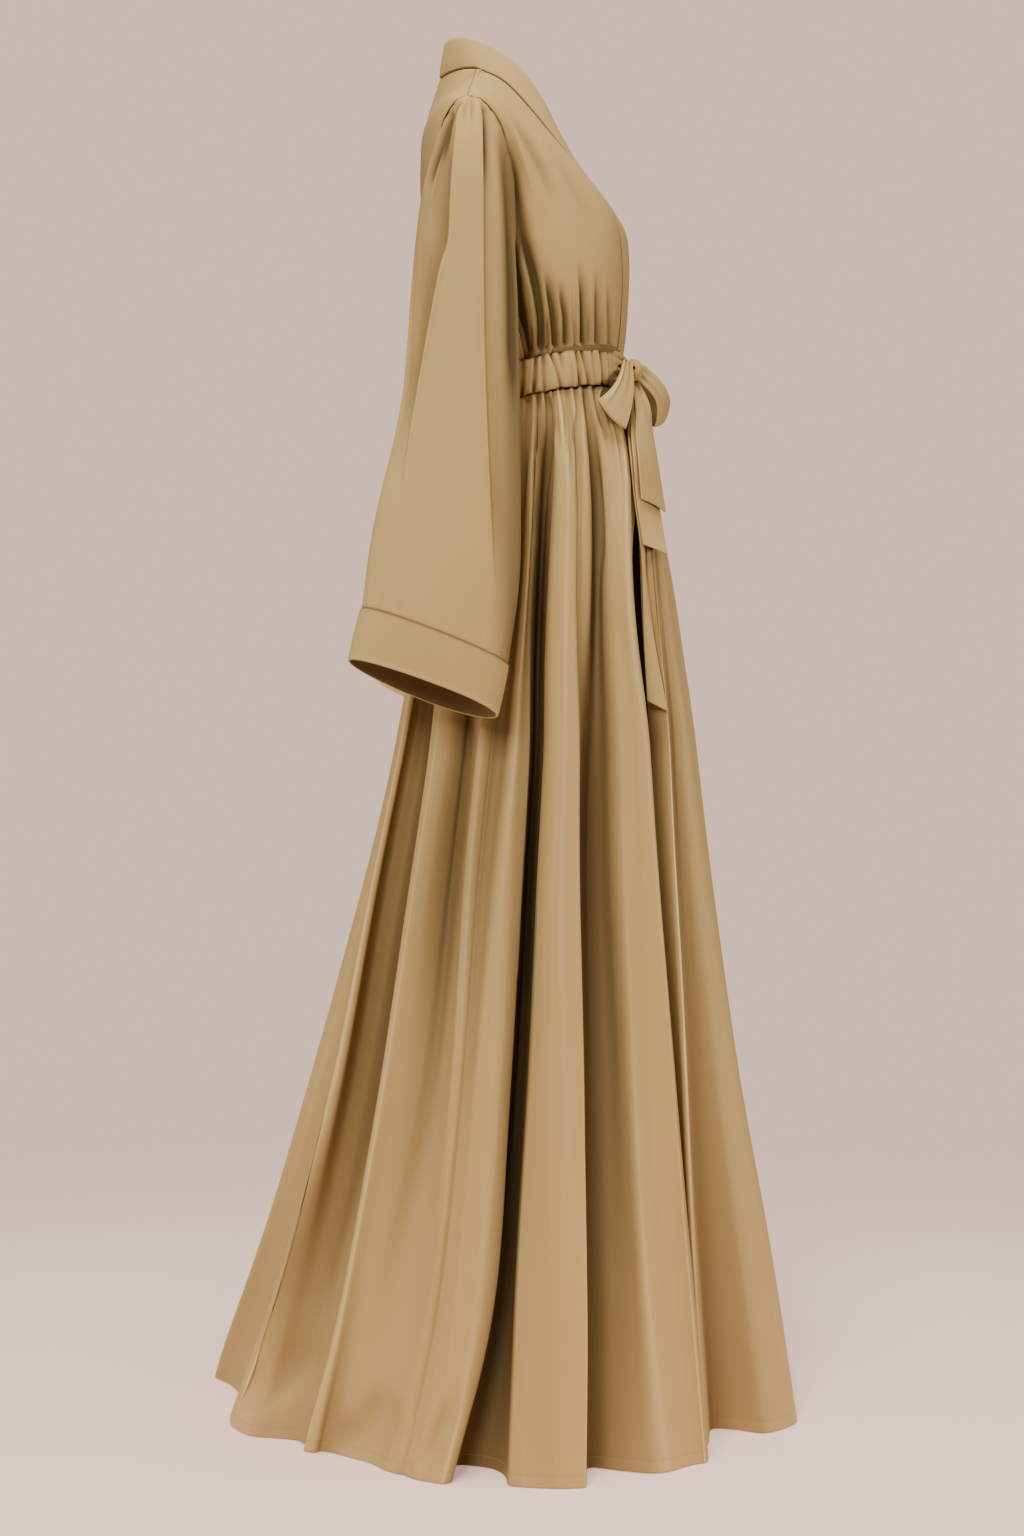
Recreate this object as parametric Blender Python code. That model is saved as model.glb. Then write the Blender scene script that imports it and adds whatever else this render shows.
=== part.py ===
# Abaya cloak: open front, tied at the waist with a bow.
# Metres. +Z up, the front faces -Y, the wearer's right side is at -X.
# The origin is the middle of the neck opening on the line of the shoulder seams.
import bpy
import numpy as np

for old in list(bpy.data.objects):
    bpy.data.objects.remove(old, do_unlink=True)

CLOTH = 0.0020          # wall of a single panel, with its folded edge
BAND = 0.0024           # wall of the neck band, cuffs and waistband
RIBBON = 0.0018         # wall of the tie
SEAM_GAP = 0.0002       # each side of a seam
TUCK = 0.0055           # how far the left front sits under the right front
FLOOR_Z = -1.4445       # hem, just off the floor
WAIST_LOW = -0.3600     # lower edge of the waistband at the side
BAND_HEIGHT = 0.0375    # height of the waistband
WAIST_RISE = 0.24       # the waist climbs towards the front, per metre of depth
WAIST_MID_Y = -0.060
GATHER_SKIRT = 0.0016
GATHER_BODICE = 0.0016

# skirt and waist sections: height, front y, back y, half width
LEVELS = np.array([
    (-0.345, -0.157, 0.030, 0.140),
    (-0.400, -0.180, 0.038, 0.158),
    (-0.520, -0.213, 0.055, 0.181),
    (-0.664, -0.236, 0.084, 0.203),
    (-0.900, -0.265, 0.142, 0.236),
    (-1.110, -0.293, 0.196, 0.264),
    (-1.330, -0.331, 0.260, 0.295),
    (-1.4445, -0.352, 0.300, 0.310)])

# folds of the skirt on the wearer's right, from the free edge of the right front to the back:
# bearing at the waist (0 front, 90 the wearer's right, 180 back), then bearing and reach, as a
# share of the section, at hip, thigh, calf, shin and hem
NEAR_FOLDS = np.array([
    (-4.0, 46.0, 0.907, 44.5, 0.856, 43.8, 0.866, 43.8, 0.843, 42.8, 0.845),
    (5.0, 44.4, 0.947, 43.9, 0.904, 43.4, 0.917, 43.3, 0.902, 43.3, 0.894),
    (24.0, 49.3, 0.992, 49.4, 0.974, 48.3, 0.974, 48.3, 0.964, 48.1, 0.962),
    (31.0, 53.8, 0.999, 54.4, 0.967, 54.6, 0.967, 53.8, 0.960, 52.9, 0.963),
    (41.0, 60.1, 0.975, 60.7, 0.951, 59.7, 0.954, 59.5, 0.949, 58.9, 0.953),
    (47.0, 62.6, 0.927, 63.5, 0.889, 61.6, 0.906, 61.4, 0.912, 62.5, 0.909),
    (53.0, 63.5, 0.858, 64.7, 0.787, 62.9, 0.830, 64.1, 0.850, 65.2, 0.867),
    (58.0, 69.9, 0.941, 68.9, 0.753, 67.7, 0.785, 68.4, 0.805, 69.1, 0.822),
    (63.5, 75.0, 0.949, 73.3, 0.821, 71.1, 0.850, 71.4, 0.860, 71.6, 0.870),
    (66.0, 77.0, 0.981, 77.1, 0.975, 74.9, 1.001, 74.5, 1.003, 74.6, 1.007),
    (71.0, 82.1, 0.987, 82.9, 0.986, 80.7, 1.007, 79.8, 1.003, 79.0, 1.005),
    (75.5, 87.8, 0.957, 87.9, 0.965, 86.4, 0.984, 86.1, 0.976, 85.4, 0.974),
    (78.0, 90.0, 0.912, 90.2, 0.936, 88.5, 0.955, 88.2, 0.949, 87.0, 0.950),
    (79.5, 91.0, 0.840, 89.6, 0.786, 87.8, 0.805, 88.3, 0.845, 87.8, 0.878),
    (81.0, 92.7, 0.763, 92.6, 0.703, 90.6, 0.719, 91.1, 0.745, 92.0, 0.768),
    (83.5, 94.9, 0.787, 94.9, 0.728, 92.5, 0.727, 93.7, 0.733, 98.5, 0.747),
    (87.0, 97.2, 0.913, 94.5, 0.916, 92.5, 0.913, 93.1, 0.912, 98.3, 0.923),
    (89.0, 98.1, 0.926, 97.5, 0.939, 95.6, 0.940, 96.2, 0.937, 99.6, 0.945),
    (92.0, 100.1, 0.915, 101.7, 0.946, 102.0, 0.951, 102.0, 0.941, 102.6, 0.940),
    (97.0, 105.1, 0.853, 106.2, 0.921, 104.0, 0.942, 103.8, 0.925, 105.1, 0.922),
    (103.0, 109.3, 0.931, 109.0, 0.950, 105.7, 0.936, 106.0, 0.896, 108.4, 0.881),
    (107.0, 111.6, 0.957, 111.5, 0.971, 107.0, 0.936, 107.7, 0.894, 110.2, 0.877),
    (111.0, 114.8, 0.986, 114.1, 0.970, 108.8, 0.931, 109.8, 0.877, 113.6, 0.859),
    (114.5, 119.4, 0.939, 118.0, 0.875, 112.6, 0.884, 114.6, 0.847, 117.6, 0.834),
    (118.0, 123.7, 0.917, 122.8, 0.847, 116.9, 0.859, 120.7, 0.836, 122.4, 0.814),
    (122.0, 125.7, 0.952, 124.2, 0.889, 120.6, 0.890, 126.5, 0.832, 129.5, 0.777),
    (128.0, 131.4, 0.958, 127.9, 0.967, 125.3, 0.933, 131.0, 0.840, 135.2, 0.769),
    (133.0, 136.9, 0.987, 131.6, 1.002, 128.6, 0.955, 131.7, 0.880, 133.8, 0.823),
    (135.5, 140.9, 0.982, 134.3, 0.994, 130.6, 0.947, 133.5, 0.874, 136.4, 0.833),
    (137.0, 146.3, 0.916, 141.4, 0.886, 138.5, 0.829, 139.4, 0.799, 140.5, 0.787),
    (139.5, 151.7, 0.909, 152.0, 0.847, 148.4, 0.796, 149.2, 0.764, 144.4, 0.781),
    (143.0, 153.1, 0.951, 154.0, 0.920, 149.9, 0.864, 153.8, 0.822, 148.5, 0.840),
    (147.0, 152.4, 1.000, 151.0, 0.996, 146.6, 0.961, 155.3, 0.901, 153.8, 0.892),
    (150.0, 154.3, 1.020, 152.6, 1.016, 149.3, 0.993, 155.8, 0.961, 161.5, 0.913),
    (152.0, 161.7, 0.967, 161.6, 0.949, 159.1, 0.919, 166.5, 0.917, 171.7, 0.889),
    (155.0, 167.0, 0.979, 168.5, 0.939, 167.2, 0.908, 178.1, 0.915, 186.3, 0.880),
    (160.0, 176.8, 0.988, 174.9, 0.949, 171.1, 0.945, 182.0, 0.976, 194.6, 0.959),
    (167.0, 189.2, 1.040, 184.1, 0.977, 178.9, 0.982, 185.7, 1.052, 200.3, 1.061)])
# folds round the back and the left side: bearing at waist, hip and hem, reach at hip and hem
ROUND_FOLDS = np.array([
    (175.0, 193.5, 206.0, 0.900, 0.900),
    (184.0, 197.0, 210.0, 0.860, 0.800), (192.0, 200.5, 212.0, 0.960, 0.900),
    (200.0, 203.5, 215.0, 0.980, 0.950), (208.0, 208.5, 219.0, 0.870, 0.810),
    (215.0, 214.5, 221.0, 0.970, 0.920), (221.0, 221.0, 225.0, 0.975, 0.945),
    (228.0, 228.0, 230.0, 0.860, 0.790), (238.0, 237.0, 238.0, 0.960, 0.930),
    (246.0, 244.0, 245.0, 0.975, 0.950), (257.0, 251.0, 251.5, 0.900, 0.850),
    (264.0, 259.0, 259.0, 0.860, 0.790), (272.0, 266.5, 266.0, 0.985, 0.950),
    (279.0, 273.5, 273.0, 1.000, 0.985), (287.0, 281.0, 281.0, 0.860, 0.800),
    (296.0, 289.5, 289.0, 0.990, 1.000), (303.0, 297.0, 297.0, 0.990, 0.985),
    (311.0, 305.0, 305.0, 0.860, 0.790), (319.0, 314.0, 314.0, 0.975, 0.960),
    (326.0, 321.0, 321.0, 0.970, 0.950), (332.0, 329.5, 329.0, 0.860, 0.810),
    (337.0, 338.0, 337.0, 0.980, 0.975), (341.0, 345.0, 344.0, 0.980, 0.970),
    (345.0, 352.0, 352.0, 0.900, 0.880)])
# the left front where it comes round to its free edge, columns as in NEAR_FOLDS
FAR_FOLDS = np.array([
    (350.0, 364.8, 0.982, 365.5, 0.978, 364.4, 0.998, 367.1, 1.014, 369.3, 1.000),
    (352.5, 374.5, 0.995, 373.9, 0.974, 372.4, 0.993, 374.3, 1.001, 375.9, 0.999),
    (355.0, 382.8, 0.997, 381.1, 0.949, 380.0, 0.939, 381.9, 0.940, 383.5, 0.940),
    (357.0, 386.6, 0.987, 384.3, 0.909, 382.1, 0.864, 382.8, 0.851, 383.6, 0.840),
    (358.5, 388.2, 0.982, 386.1, 0.893, 385.3, 0.833, 384.9, 0.798, 384.9, 0.767),
    (360.0, 394.1, 1.024, 395.3, 0.948, 397.5, 0.902, 398.4, 0.860, 398.6, 0.843),
    (362.0, 394.3, 0.981, 395.1, 0.880, 397.0, 0.861, 397.9, 0.833, 398.3, 0.823),
    (364.0, 394.7, 0.912, 396.1, 0.818, 397.8, 0.800, 398.5, 0.781, 398.3, 0.781)])
FOLD_LEVELS = (0.159, 0.359, 0.659, 0.841, 1.0)   # hip, thigh, calf, shin and hem, share of the drop
SIDE_RIGHT, SIDE_LEFT = 20, 48          # folds at the side seams
# spans between near folds that are cut finer than one step
NEAR_STEPS = {3: 2, 4: 2, 9: 2, 10: 3, 17: 2, 18: 2, 25: 2, 31: 2, 32: 2, 35: 2, 36: 2, 37: 3,
              62: 2, 63: 2, 64: 2}
SKIRT_ROWS = np.array([0.0, 0.03, 0.08, 0.16, 0.27, 0.42, 0.60, 0.78, 0.91, 1.0])

# bodice front, right side: neck edge x y z, outer edge x y z, squareness of the section
FRONT_ROWS = np.array([
    (-0.0275, -0.1550, -0.2990, -0.1400, -0.0560, -0.3220, 2.0),
    (-0.0275, -0.1590, -0.2620, -0.1560, -0.0440, -0.2820, 2.4),
    (-0.0285, -0.1605, -0.2000, -0.1690, -0.0080, -0.2320, 2.5),
    (-0.0330, -0.1500, -0.1460, -0.1670, -0.0420, -0.1650, 2.1),
    (-0.0720, -0.1010, -0.0930, -0.1760, -0.0350, -0.1020, 1.7),
    (-0.0810, -0.0410, -0.0237, -0.1860, -0.0150, -0.0700, 1.3),
    (-0.0710, -0.0042, 0.0000, -0.1900, 0.0040, -0.0630, 1.0)])
# bodice back, right half: middle y z, outer edge x y z, squareness of the section
BACK_ROWS = np.array([
    (0.0300, -0.3450, -0.1400, -0.0554, -0.3222, 2.0),
    (0.0400, -0.2850, -0.1560, -0.0434, -0.2820, 2.3),
    (0.0500, -0.2100, -0.1690, -0.0074, -0.2320, 2.4),
    (0.0560, -0.1500, -0.1670, 0.0300, -0.1650, 2.2),
    (0.0579, -0.1000, -0.1760, 0.0320, -0.1020, 1.9),
    (0.0535, -0.0470, -0.1860, 0.0170, -0.0700, 1.5)])
# back neck seam and shoulder seam: share across, x, y, z
BACK_TOP = np.array([
    (0.00, 0.000, 0.0365, 0.0103),
    (0.16, -0.030, 0.0245, 0.0077),
    (0.30, -0.055, 0.0096, 0.0045),
    (0.42, -0.071, -0.0042, 0.0000),
    (1.00, -0.190, 0.0040, -0.0630)])

# neck band, right side: seam x y z, free edge x y z, from the waist to the back neck
BAND_ROWS = np.array([
    (-0.0270, -0.1545, -0.2988, 0.0100, -0.1630, -0.2978),
    (-0.0270, -0.1590, -0.2620, 0.0105, -0.1675, -0.2620),
    (-0.0280, -0.1605, -0.2000, 0.0110, -0.1705, -0.2000),
    (-0.0290, -0.1570, -0.1700, 0.0090, -0.1675, -0.1620),
    (-0.0330, -0.1495, -0.1460, 0.0010, -0.1540, -0.1390),
    (-0.0430, -0.1405, -0.1333, -0.0110, -0.1415, -0.1270),
    (-0.0600, -0.1190, -0.1110, -0.0300, -0.1160, -0.0985),
    (-0.0715, -0.1010, -0.0930, -0.0400, -0.1035, -0.0800),
    (-0.0775, -0.0857, -0.0774, -0.0480, -0.0904, -0.0580),
    (-0.0805, -0.0611, -0.0455, -0.0570, -0.0725, -0.0250),
    (-0.0805, -0.0410, -0.0237, -0.0620, -0.0508, 0.0030),
    (-0.0775, -0.0207, -0.0080, -0.0625, -0.0275, 0.0215),
    (-0.0705, -0.0041, 0.0003, -0.0590, -0.0088, 0.0322),
    (-0.0550, 0.0098, 0.0047, -0.0480, 0.0085, 0.0405),
    (-0.0300, 0.0246, 0.0080, -0.0270, 0.0220, 0.0452),
    (0.0000, 0.0367, 0.0106, 0.0000, 0.0300, 0.0495)])

# right sleeve below the armhole: outer x y z, inner x y z, front x y z, back x y z
SLEEVE_RINGS = np.array([
    (-0.2190, 0.004, -0.0830, -0.1760, -0.006, -0.2460,
     -0.1880, -0.045, -0.1680, -0.1880, 0.042, -0.1680),
    (-0.2400, 0.006, -0.1350, -0.1830, -0.002, -0.2750,
     -0.2080, -0.045, -0.2150, -0.2080, 0.052, -0.2050),
    (-0.2500, 0.008, -0.2350, -0.1880, 0.003, -0.3200,
     -0.2190, -0.048, -0.2880, -0.2190, 0.059, -0.2700),
    (-0.2640, 0.011, -0.3800, -0.1960, 0.008, -0.4200,
     -0.2300, -0.050, -0.4100, -0.2300, 0.069, -0.3850),
    (-0.2850, 0.022, -0.5200, -0.2080, 0.022, -0.5450,
     -0.2460, -0.050, -0.5500, -0.2460, 0.095, -0.5050),
    (-0.3000, 0.034, -0.6130, -0.2150, 0.034, -0.6270,
     -0.2570, -0.038, -0.6460, -0.2570, 0.107, -0.5906)])
CUFF_RINGS = np.array([
    (-0.3000, 0.034, -0.6135, -0.2150, 0.034, -0.6275,
     -0.2570, -0.038, -0.6465, -0.2570, 0.107, -0.5911),
    (-0.3050, 0.036, -0.6640, -0.2200, 0.039, -0.6820,
     -0.2610, -0.0275, -0.6955, -0.2610, 0.1190, -0.6415)])
SLEEVE_AROUND = 32
# soft pleats of the sleeve head: bearing round the sleeve (0 outside, 90 front),
# depth of the fold, share of the sleeve it runs down, on the right and on the left
SLEEVE_FOLDS = np.array([
    (-62.0, 0.007, 0.75, 0.9375), (-28.0, -0.005, 0.80, 1.0), (-10.0, 0.006, 0.90, 1.125),
    (30.0, -0.005, 1.00, 1.0), (52.0, 0.004, 1.00, 1.25), (150.0, -0.004, 0.80, 1.0),
    (205.0, 0.005, 0.80, 1.0)])

KNOT = np.array((-0.008, -0.1730, -0.3130))
# hanging ends of the tie: left edge x y z, right edge x y z, from the knot down
TAIL_UPPER = np.array([
    (-0.0170, -0.1745, -0.3279, -0.0060, -0.1790, -0.3269),
    (-0.0460, -0.1761, -0.3571, -0.0180, -0.1918, -0.3505),
    (-0.0830, -0.1744, -0.3895, -0.0340, -0.1947, -0.3819),
    (-0.1100, -0.1759, -0.4242, -0.0530, -0.1986, -0.4150),
    (-0.1160, -0.1786, -0.4650, -0.0700, -0.2064, -0.4737)])
TAIL_MIDDLE = np.array([
    (-0.0160, -0.1700, -0.3279, -0.0060, -0.1730, -0.3284),
    (-0.0460, -0.1715, -0.3614, -0.0200, -0.1865, -0.3568),
    (-0.0870, -0.1692, -0.3902, -0.0360, -0.1887, -0.3851),
    (-0.1150, -0.1707, -0.4251, -0.0550, -0.1925, -0.4193),
    (-0.1180, -0.1734, -0.4646, -0.0710, -0.1993, -0.4680),
    (-0.1210, -0.1797, -0.5133, -0.1110, -0.2054, -0.5223)])
TAIL_LOWER = np.array([
    (-0.0150, -0.1662, -0.3255, -0.0070, -0.1677, -0.3262),
    (-0.0480, -0.1675, -0.3635, -0.0340, -0.1755, -0.3615),
    (-0.0870, -0.1664, -0.3948, -0.0620, -0.1754, -0.3934),
    (-0.1100, -0.1678, -0.4243, -0.0860, -0.1783, -0.4230),
    (-0.1140, -0.1715, -0.4644, -0.0920, -0.1810, -0.4631),
    (-0.1170, -0.1768, -0.5072, -0.1090, -0.1818, -0.5075),
    (-0.1170, -0.1793, -0.5411, -0.1120, -0.1837, -0.5418),
    (-0.1250, -0.1802, -0.6108, -0.1230, -0.1909, -0.6135),
    (-0.1290, -0.1834, -0.6773, -0.1270, -0.2043, -0.6876)])


def through(knots, keys, at):
    """Smooth curve through the key values at the given knots."""
    knots, keys, at = (np.asarray(a, float) for a in (knots, keys, at))
    step = np.diff(knots)
    shape = (-1,) + (1,) * (keys.ndim - 1)
    slope = np.diff(keys, axis=0) / step.reshape(shape)
    lean = np.empty_like(keys)
    lean[0], lean[-1] = slope[0], slope[-1]
    if len(keys) > 2:
        before, after = step[:-1].reshape(shape), step[1:].reshape(shape)
        lean[1:-1] = (slope[:-1] * after + slope[1:] * before) / (before + after)
    cell = np.clip(np.searchsorted(knots, at, side="right") - 1, 0, len(step) - 1)
    wide = step[cell].reshape(shape)
    t = ((at - knots[cell]) / step[cell]).reshape(shape)
    return ((2 * t ** 3 - 3 * t ** 2 + 1) * keys[cell] + (t ** 3 - 2 * t ** 2 + t) * wide * lean[cell]
            + (3 * t ** 2 - 2 * t ** 3) * keys[cell + 1] + (t ** 3 - t ** 2) * wide * lean[cell + 1])


def unit(v):
    return v / np.maximum(np.linalg.norm(v, axis=-1, keepdims=True), 1e-12)


def normals(grid, closed=False):
    """Outward normals of a grid of points [row, column]."""
    if closed:
        across = np.roll(grid, -1, 1) - np.roll(grid, 1, 1)
    else:
        across = np.gradient(grid, axis=1)
    along = np.gradient(grid, axis=0)
    return unit(np.cross(across, along))


def wall(grid, thick, out=None, closed=False):
    """Inner face of a panel whose outer face is the grid."""
    return grid - (normals(grid, closed) if out is None else out) * thick


def ease(outer, inner, gap, ends=(0, 0, 0, 0)):
    """Draw the edges back from the seams: first row, last row, first column, last column."""
    for face in (outer, inner):
        for edge, (here, near) in zip(ends, (((0,), (1,)), ((-1,), (-2,)))):
            if edge:
                face[here] += unit(face[near] - face[here]) * gap
        for edge, here, near in ((ends[2], 0, 1), (ends[3], -1, -2)):
            if edge:
                face[:, here] += unit(face[:, near] - face[:, here]) * gap
    return outer, inner


COLOURS = {"cloth": (0.440, 0.340, 0.215, 1.0)}


def solid(name, outer, inner, closed=False, tint=1.0):
    """Closed solid between two grids of the same size."""
    rows, cols = outer.shape[:2]
    verts = np.concatenate([outer.reshape(-1, 3), inner.reshape(-1, 3)])
    base = rows * cols
    faces = []
    spans = cols if closed else cols - 1
    for r in range(rows - 1):
        for c in range(spans):
            a, b = r * cols + c, r * cols + (c + 1) % cols
            d, e = a + cols, b + cols
            faces += [(a, b, e), (a, e, d), (base + a, base + e, base + b), (base + a, base + d, base + e)]
    for c in range(spans):
        a, b = c, (c + 1) % cols
        faces += [(a, base + b, b), (a, base + a, base + b)]
        a, b = a + (rows - 1) * cols, b + (rows - 1) * cols
        faces += [(a, b, base + b), (a, base + b, base + a)]
    if not closed:
        for r in range(rows - 1):
            a, d = r * cols, (r + 1) * cols
            faces += [(a, d, base + d), (a, base + d, base + a)]
            a, d = a + cols - 1, d + cols - 1
            faces += [(a, base + d, d), (a, base + a, base + d)]
    volume = 0.0
    for a, b, c in faces:
        volume += np.dot(verts[a], np.cross(verts[b], verts[c]))
    if volume < 0:
        faces = [f[::-1] for f in faces]
    mesh = bpy.data.meshes.new(name)
    mesh.from_pydata([tuple(v) for v in verts], [], faces)
    mesh.validate()
    mesh.update()
    piece = bpy.data.objects.new(name, mesh)
    bpy.context.collection.objects.link(piece)
    skin = bpy.data.materials.new(name + "_cloth")
    skin.use_nodes = True
    shader = skin.node_tree.nodes["Principled BSDF"]
    r, g, b, a = COLOURS["cloth"]
    shader.inputs["Base Color"].default_value = (r * tint, g * tint, b * tint, a)
    shader.inputs["Roughness"].default_value = 0.55
    mesh.materials.append(skin)
    return piece


def mirror(points):
    flipped = points.copy()
    flipped[..., 0] *= -1
    return flipped


def section(z):
    """Middle y, half depth and half width of the skirt at a height."""
    front, back, half = through(-LEVELS[:, 0], LEVELS[:, 1:], np.atleast_1d(-np.asarray(z, float))).T
    return (front + back) / 2, (back - front) / 2, half


def waist_z(y):
    """Height of the lower edge of the waistband, lower at the back than the front."""
    return WAIST_LOW - WAIST_RISE * (y - WAIST_MID_Y)


def under(x, y, strength=1.0):
    """How far the left side tucks in where it passes under the right front."""
    near = np.clip((0.060 - x) / 0.050, 0, 1)
    return TUCK * strength * near * near * (3 - 2 * near) * (y < -0.06)


def skirt_folds():
    """Bearing and reach of every fold at the waist and at the fold levels."""
    hip = FOLD_LEVELS[0]
    late = (np.array(FOLD_LEVELS) - hip) / (1 - hip)
    waist, hip_az, hem_az, hip_reach, hem_reach = ROUND_FOLDS.T[:, :, None]
    round_az = hip_az + (hem_az - hip_az) * late ** 0.6
    round_reach = hip_reach + (hem_reach - hip_reach) * late ** 0.7
    middle = np.concatenate([waist, np.stack([round_az, round_reach], 2).reshape(len(waist), -1)], 1)
    folds = np.concatenate([NEAR_FOLDS, middle, FAR_FOLDS])
    opened = [np.stack([folds[:, 0], np.ones(len(folds))], 1)]
    return np.stack(opened + [folds[:, k:k + 2] for k in (1, 3, 5, 7, 9)])


def skirt_strip():
    """Outer and inner face of the whole skirt, free edge to free edge."""
    opened = skirt_folds()
    early, hip = 0.06, FOLD_LEVELS[0]
    share = np.array([(early / hip) ** 0.85, (early / hip) ** 0.7])
    opened = np.insert(opened, 1, opened[0] + (opened[1] - opened[0]) * share, axis=0)
    opened[1, :2, 1], opened[1, -4:, 1] = 0.984, 0.955   # the right front laps over the left until they part
    levels = np.array([0, early, *FOLD_LEVELS])
    chord = 0
    for az, reach in ((opened[-1, :, 0], opened[-1, :, 1]), (opened[-3, :, 0], opened[-3, :, 1])):
        az = np.radians(az)
        chord = chord + np.hypot(np.diff(np.sin(az) * reach), np.diff(np.cos(az) * reach)) / 2
    knots = np.concatenate([[0], np.cumsum(np.sqrt(chord))])
    at = []
    for i in range(len(knots) - 1):
        steps = 3 if len(NEAR_FOLDS) <= i < len(NEAR_FOLDS) + len(ROUND_FOLDS) - 1 else NEAR_STEPS.get(i, 1)
        at += [knots[i] + (knots[i + 1] - knots[i]) * k / steps for k in range(steps)]
    at = np.array(at + [knots[-1]])
    seams = [int(np.argmin(abs(at - knots[i]))) for i in (SIDE_RIGHT, SIDE_LEFT)]
    rows = []
    column = np.arange(len(at))
    edge_fade = np.clip(np.minimum(column, len(at) - 1 - column) / 4.0, 0, 1)
    for v in SKIRT_ROWS:
        az, reach = through(levels, opened.reshape(len(levels), -1), [v])[0].reshape(-1, 2).T
        az = np.radians(az)
        level = -0.345 + v * (FLOOR_Z + 0.345)
        mid, deep, half = section(level)
        keys = np.stack([-np.sin(az) * half * reach, mid - np.cos(az) * deep * reach], 1)
        ring = through(knots, keys, at)
        out = unit(np.stack([ring[:, 0] / half ** 2, (ring[:, 1] - mid) / deep ** 2], 1))
        pucker = GATHER_SKIRT * np.exp(-(v / 0.10) ** 2) * edge_fade * (0.4 + min(v / 0.03, 1.0))
        ring = ring + out * (pucker * np.cos(column * np.pi / 2))[:, None]
        left = column > seams[1]
        tuck = under(ring[:, 0], ring[:, 1]) * left * max(0.0, 1 - v / 0.35)
        ring[:, 1] += tuck
        top = waist_z(ring[:, 1]) * (1 - v) + FLOOR_Z * v
        rows.append(np.column_stack([ring, top]))
    grid = np.array(rows)[::-1]
    out = normals(grid)
    inner = wall(grid, CLOTH, out)
    inner[-1, :, 2] = waist_z(inner[-1, :, 1])
    return grid, inner, seams


def piece_of(outer, inner, first, last, ends, gap=SEAM_GAP):
    return ease(outer[:, first:last + 1].copy(), inner[:, first:last + 1].copy(), gap, ends)


# skirt: rows run from the hem up, columns from the wearer's right front round the back
outer, inner, seams = skirt_strip()
last = outer.shape[1] - 1
solid("skirt_front_right", *piece_of(outer, inner, 0, seams[0], (0, 1, 0, 1)), tint=0.98)
solid("skirt_back", *piece_of(outer, inner, seams[0], seams[1], (0, 1, 1, 1)), tint=1.0)
solid("skirt_front_left", *piece_of(outer, inner, seams[1], last, (0, 1, 1, 0)), tint=0.96)


def arc(start, end, square, share):
    """Part of a section from the middle of the garment out to its side."""
    turn = share * np.pi / 2
    sin, cos = np.sin(turn) ** (2 / square), np.cos(turn) ** (2 / square)
    x = start[0] + (end[0] - start[0]) * sin
    y = end[1] + (start[1] - end[1]) * cos
    z = start[2] + (end[2] - start[2]) * share
    return np.stack([x, y, z], 1)


def bodice_fold(grid, v, count, phase, lean):
    """Soft gathers that rise from the waist and die out at the bust."""
    cols = grid.shape[1]
    u = np.arange(cols)
    out = normals(grid)
    fade = np.clip(np.minimum(u, cols - 1 - u) / 2.0, 0, 1)
    for r in range(grid.shape[0]):
        size = GATHER_BODICE * np.exp(-(v[r] / 0.30) ** 2) * (0.4 + min(v[r] / 0.08, 1.0))
        grid[r] += out[r] * (size * fade * np.cos(u * np.pi / 2 + phase))[:, None]
    return grid


LOW_ROWS = np.array([0.0, 0.4, 1.0, 1.5])


def armhole_rows(keys):
    """Rows of a bodice panel: its armhole edge is cut into eight even lengths."""
    fine = np.linspace(2, 6, 161)
    edge = through(np.arange(7), keys[:, -1], fine)
    run = np.concatenate([[0], np.cumsum(np.linalg.norm(np.diff(edge, axis=0), axis=1))])
    return np.concatenate([LOW_ROWS, np.interp(np.linspace(0, run[-1], 9), run, fine)])


def front_grid():
    share = np.linspace(0, 1, 19)
    keys = np.array([arc(row[:3], row[3:6], row[6], share) for row in FRONT_ROWS])
    keys[-1] = FRONT_ROWS[-1, :3] + (FRONT_ROWS[-1, 3:6] - FRONT_ROWS[-1, :3]) * share[:, None]
    v = armhole_rows(keys)
    return bodice_fold(through(np.arange(7), keys, v), v / 6, 5, 0, 0)


def back_grid():
    share = np.linspace(0, 1, 19)
    keys = [arc((0, row[0], row[1]), row[2:5], row[5], share) for row in BACK_ROWS]
    keys.append(through(BACK_TOP[:, 0], BACK_TOP[:, 1:], share))
    keys[-1][share > 0.42] = [BACK_TOP[3, 1:] + (BACK_TOP[4, 1:] - BACK_TOP[3, 1:]) * (s - 0.42) / 0.58
                              for s in share[share > 0.42]]
    keys = np.array(keys)
    v = armhole_rows(keys)
    half = bodice_fold(through(np.arange(7), keys, v), v / 6, 5, 0, 0)
    return np.concatenate([mirror(half)[:, :0:-1], half], axis=1)


front = front_grid()
back = back_grid()
# both panels share the side seam, and end on the upper edge of the waistband
back[:5, -1] = front[:5, -1]
back[:5, 0] = mirror(front[:5, -1])
for grid in (front, back):
    grid[0, :, 2] = waist_z(grid[0, :, 1]) + BAND_HEIGHT
front_out = normals(front)
back_out = normals(back)
if back_out[5, 18, 1] < 0:
    back_out = -back_out
if front_out[3, 5, 1] > 0:
    front_out = -front_out
side = unit(front_out[:5, -1] + back_out[:5, -1])
front_out[:5, -1], back_out[:5, -1], back_out[:5, 0] = side, side, mirror(side)

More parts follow.
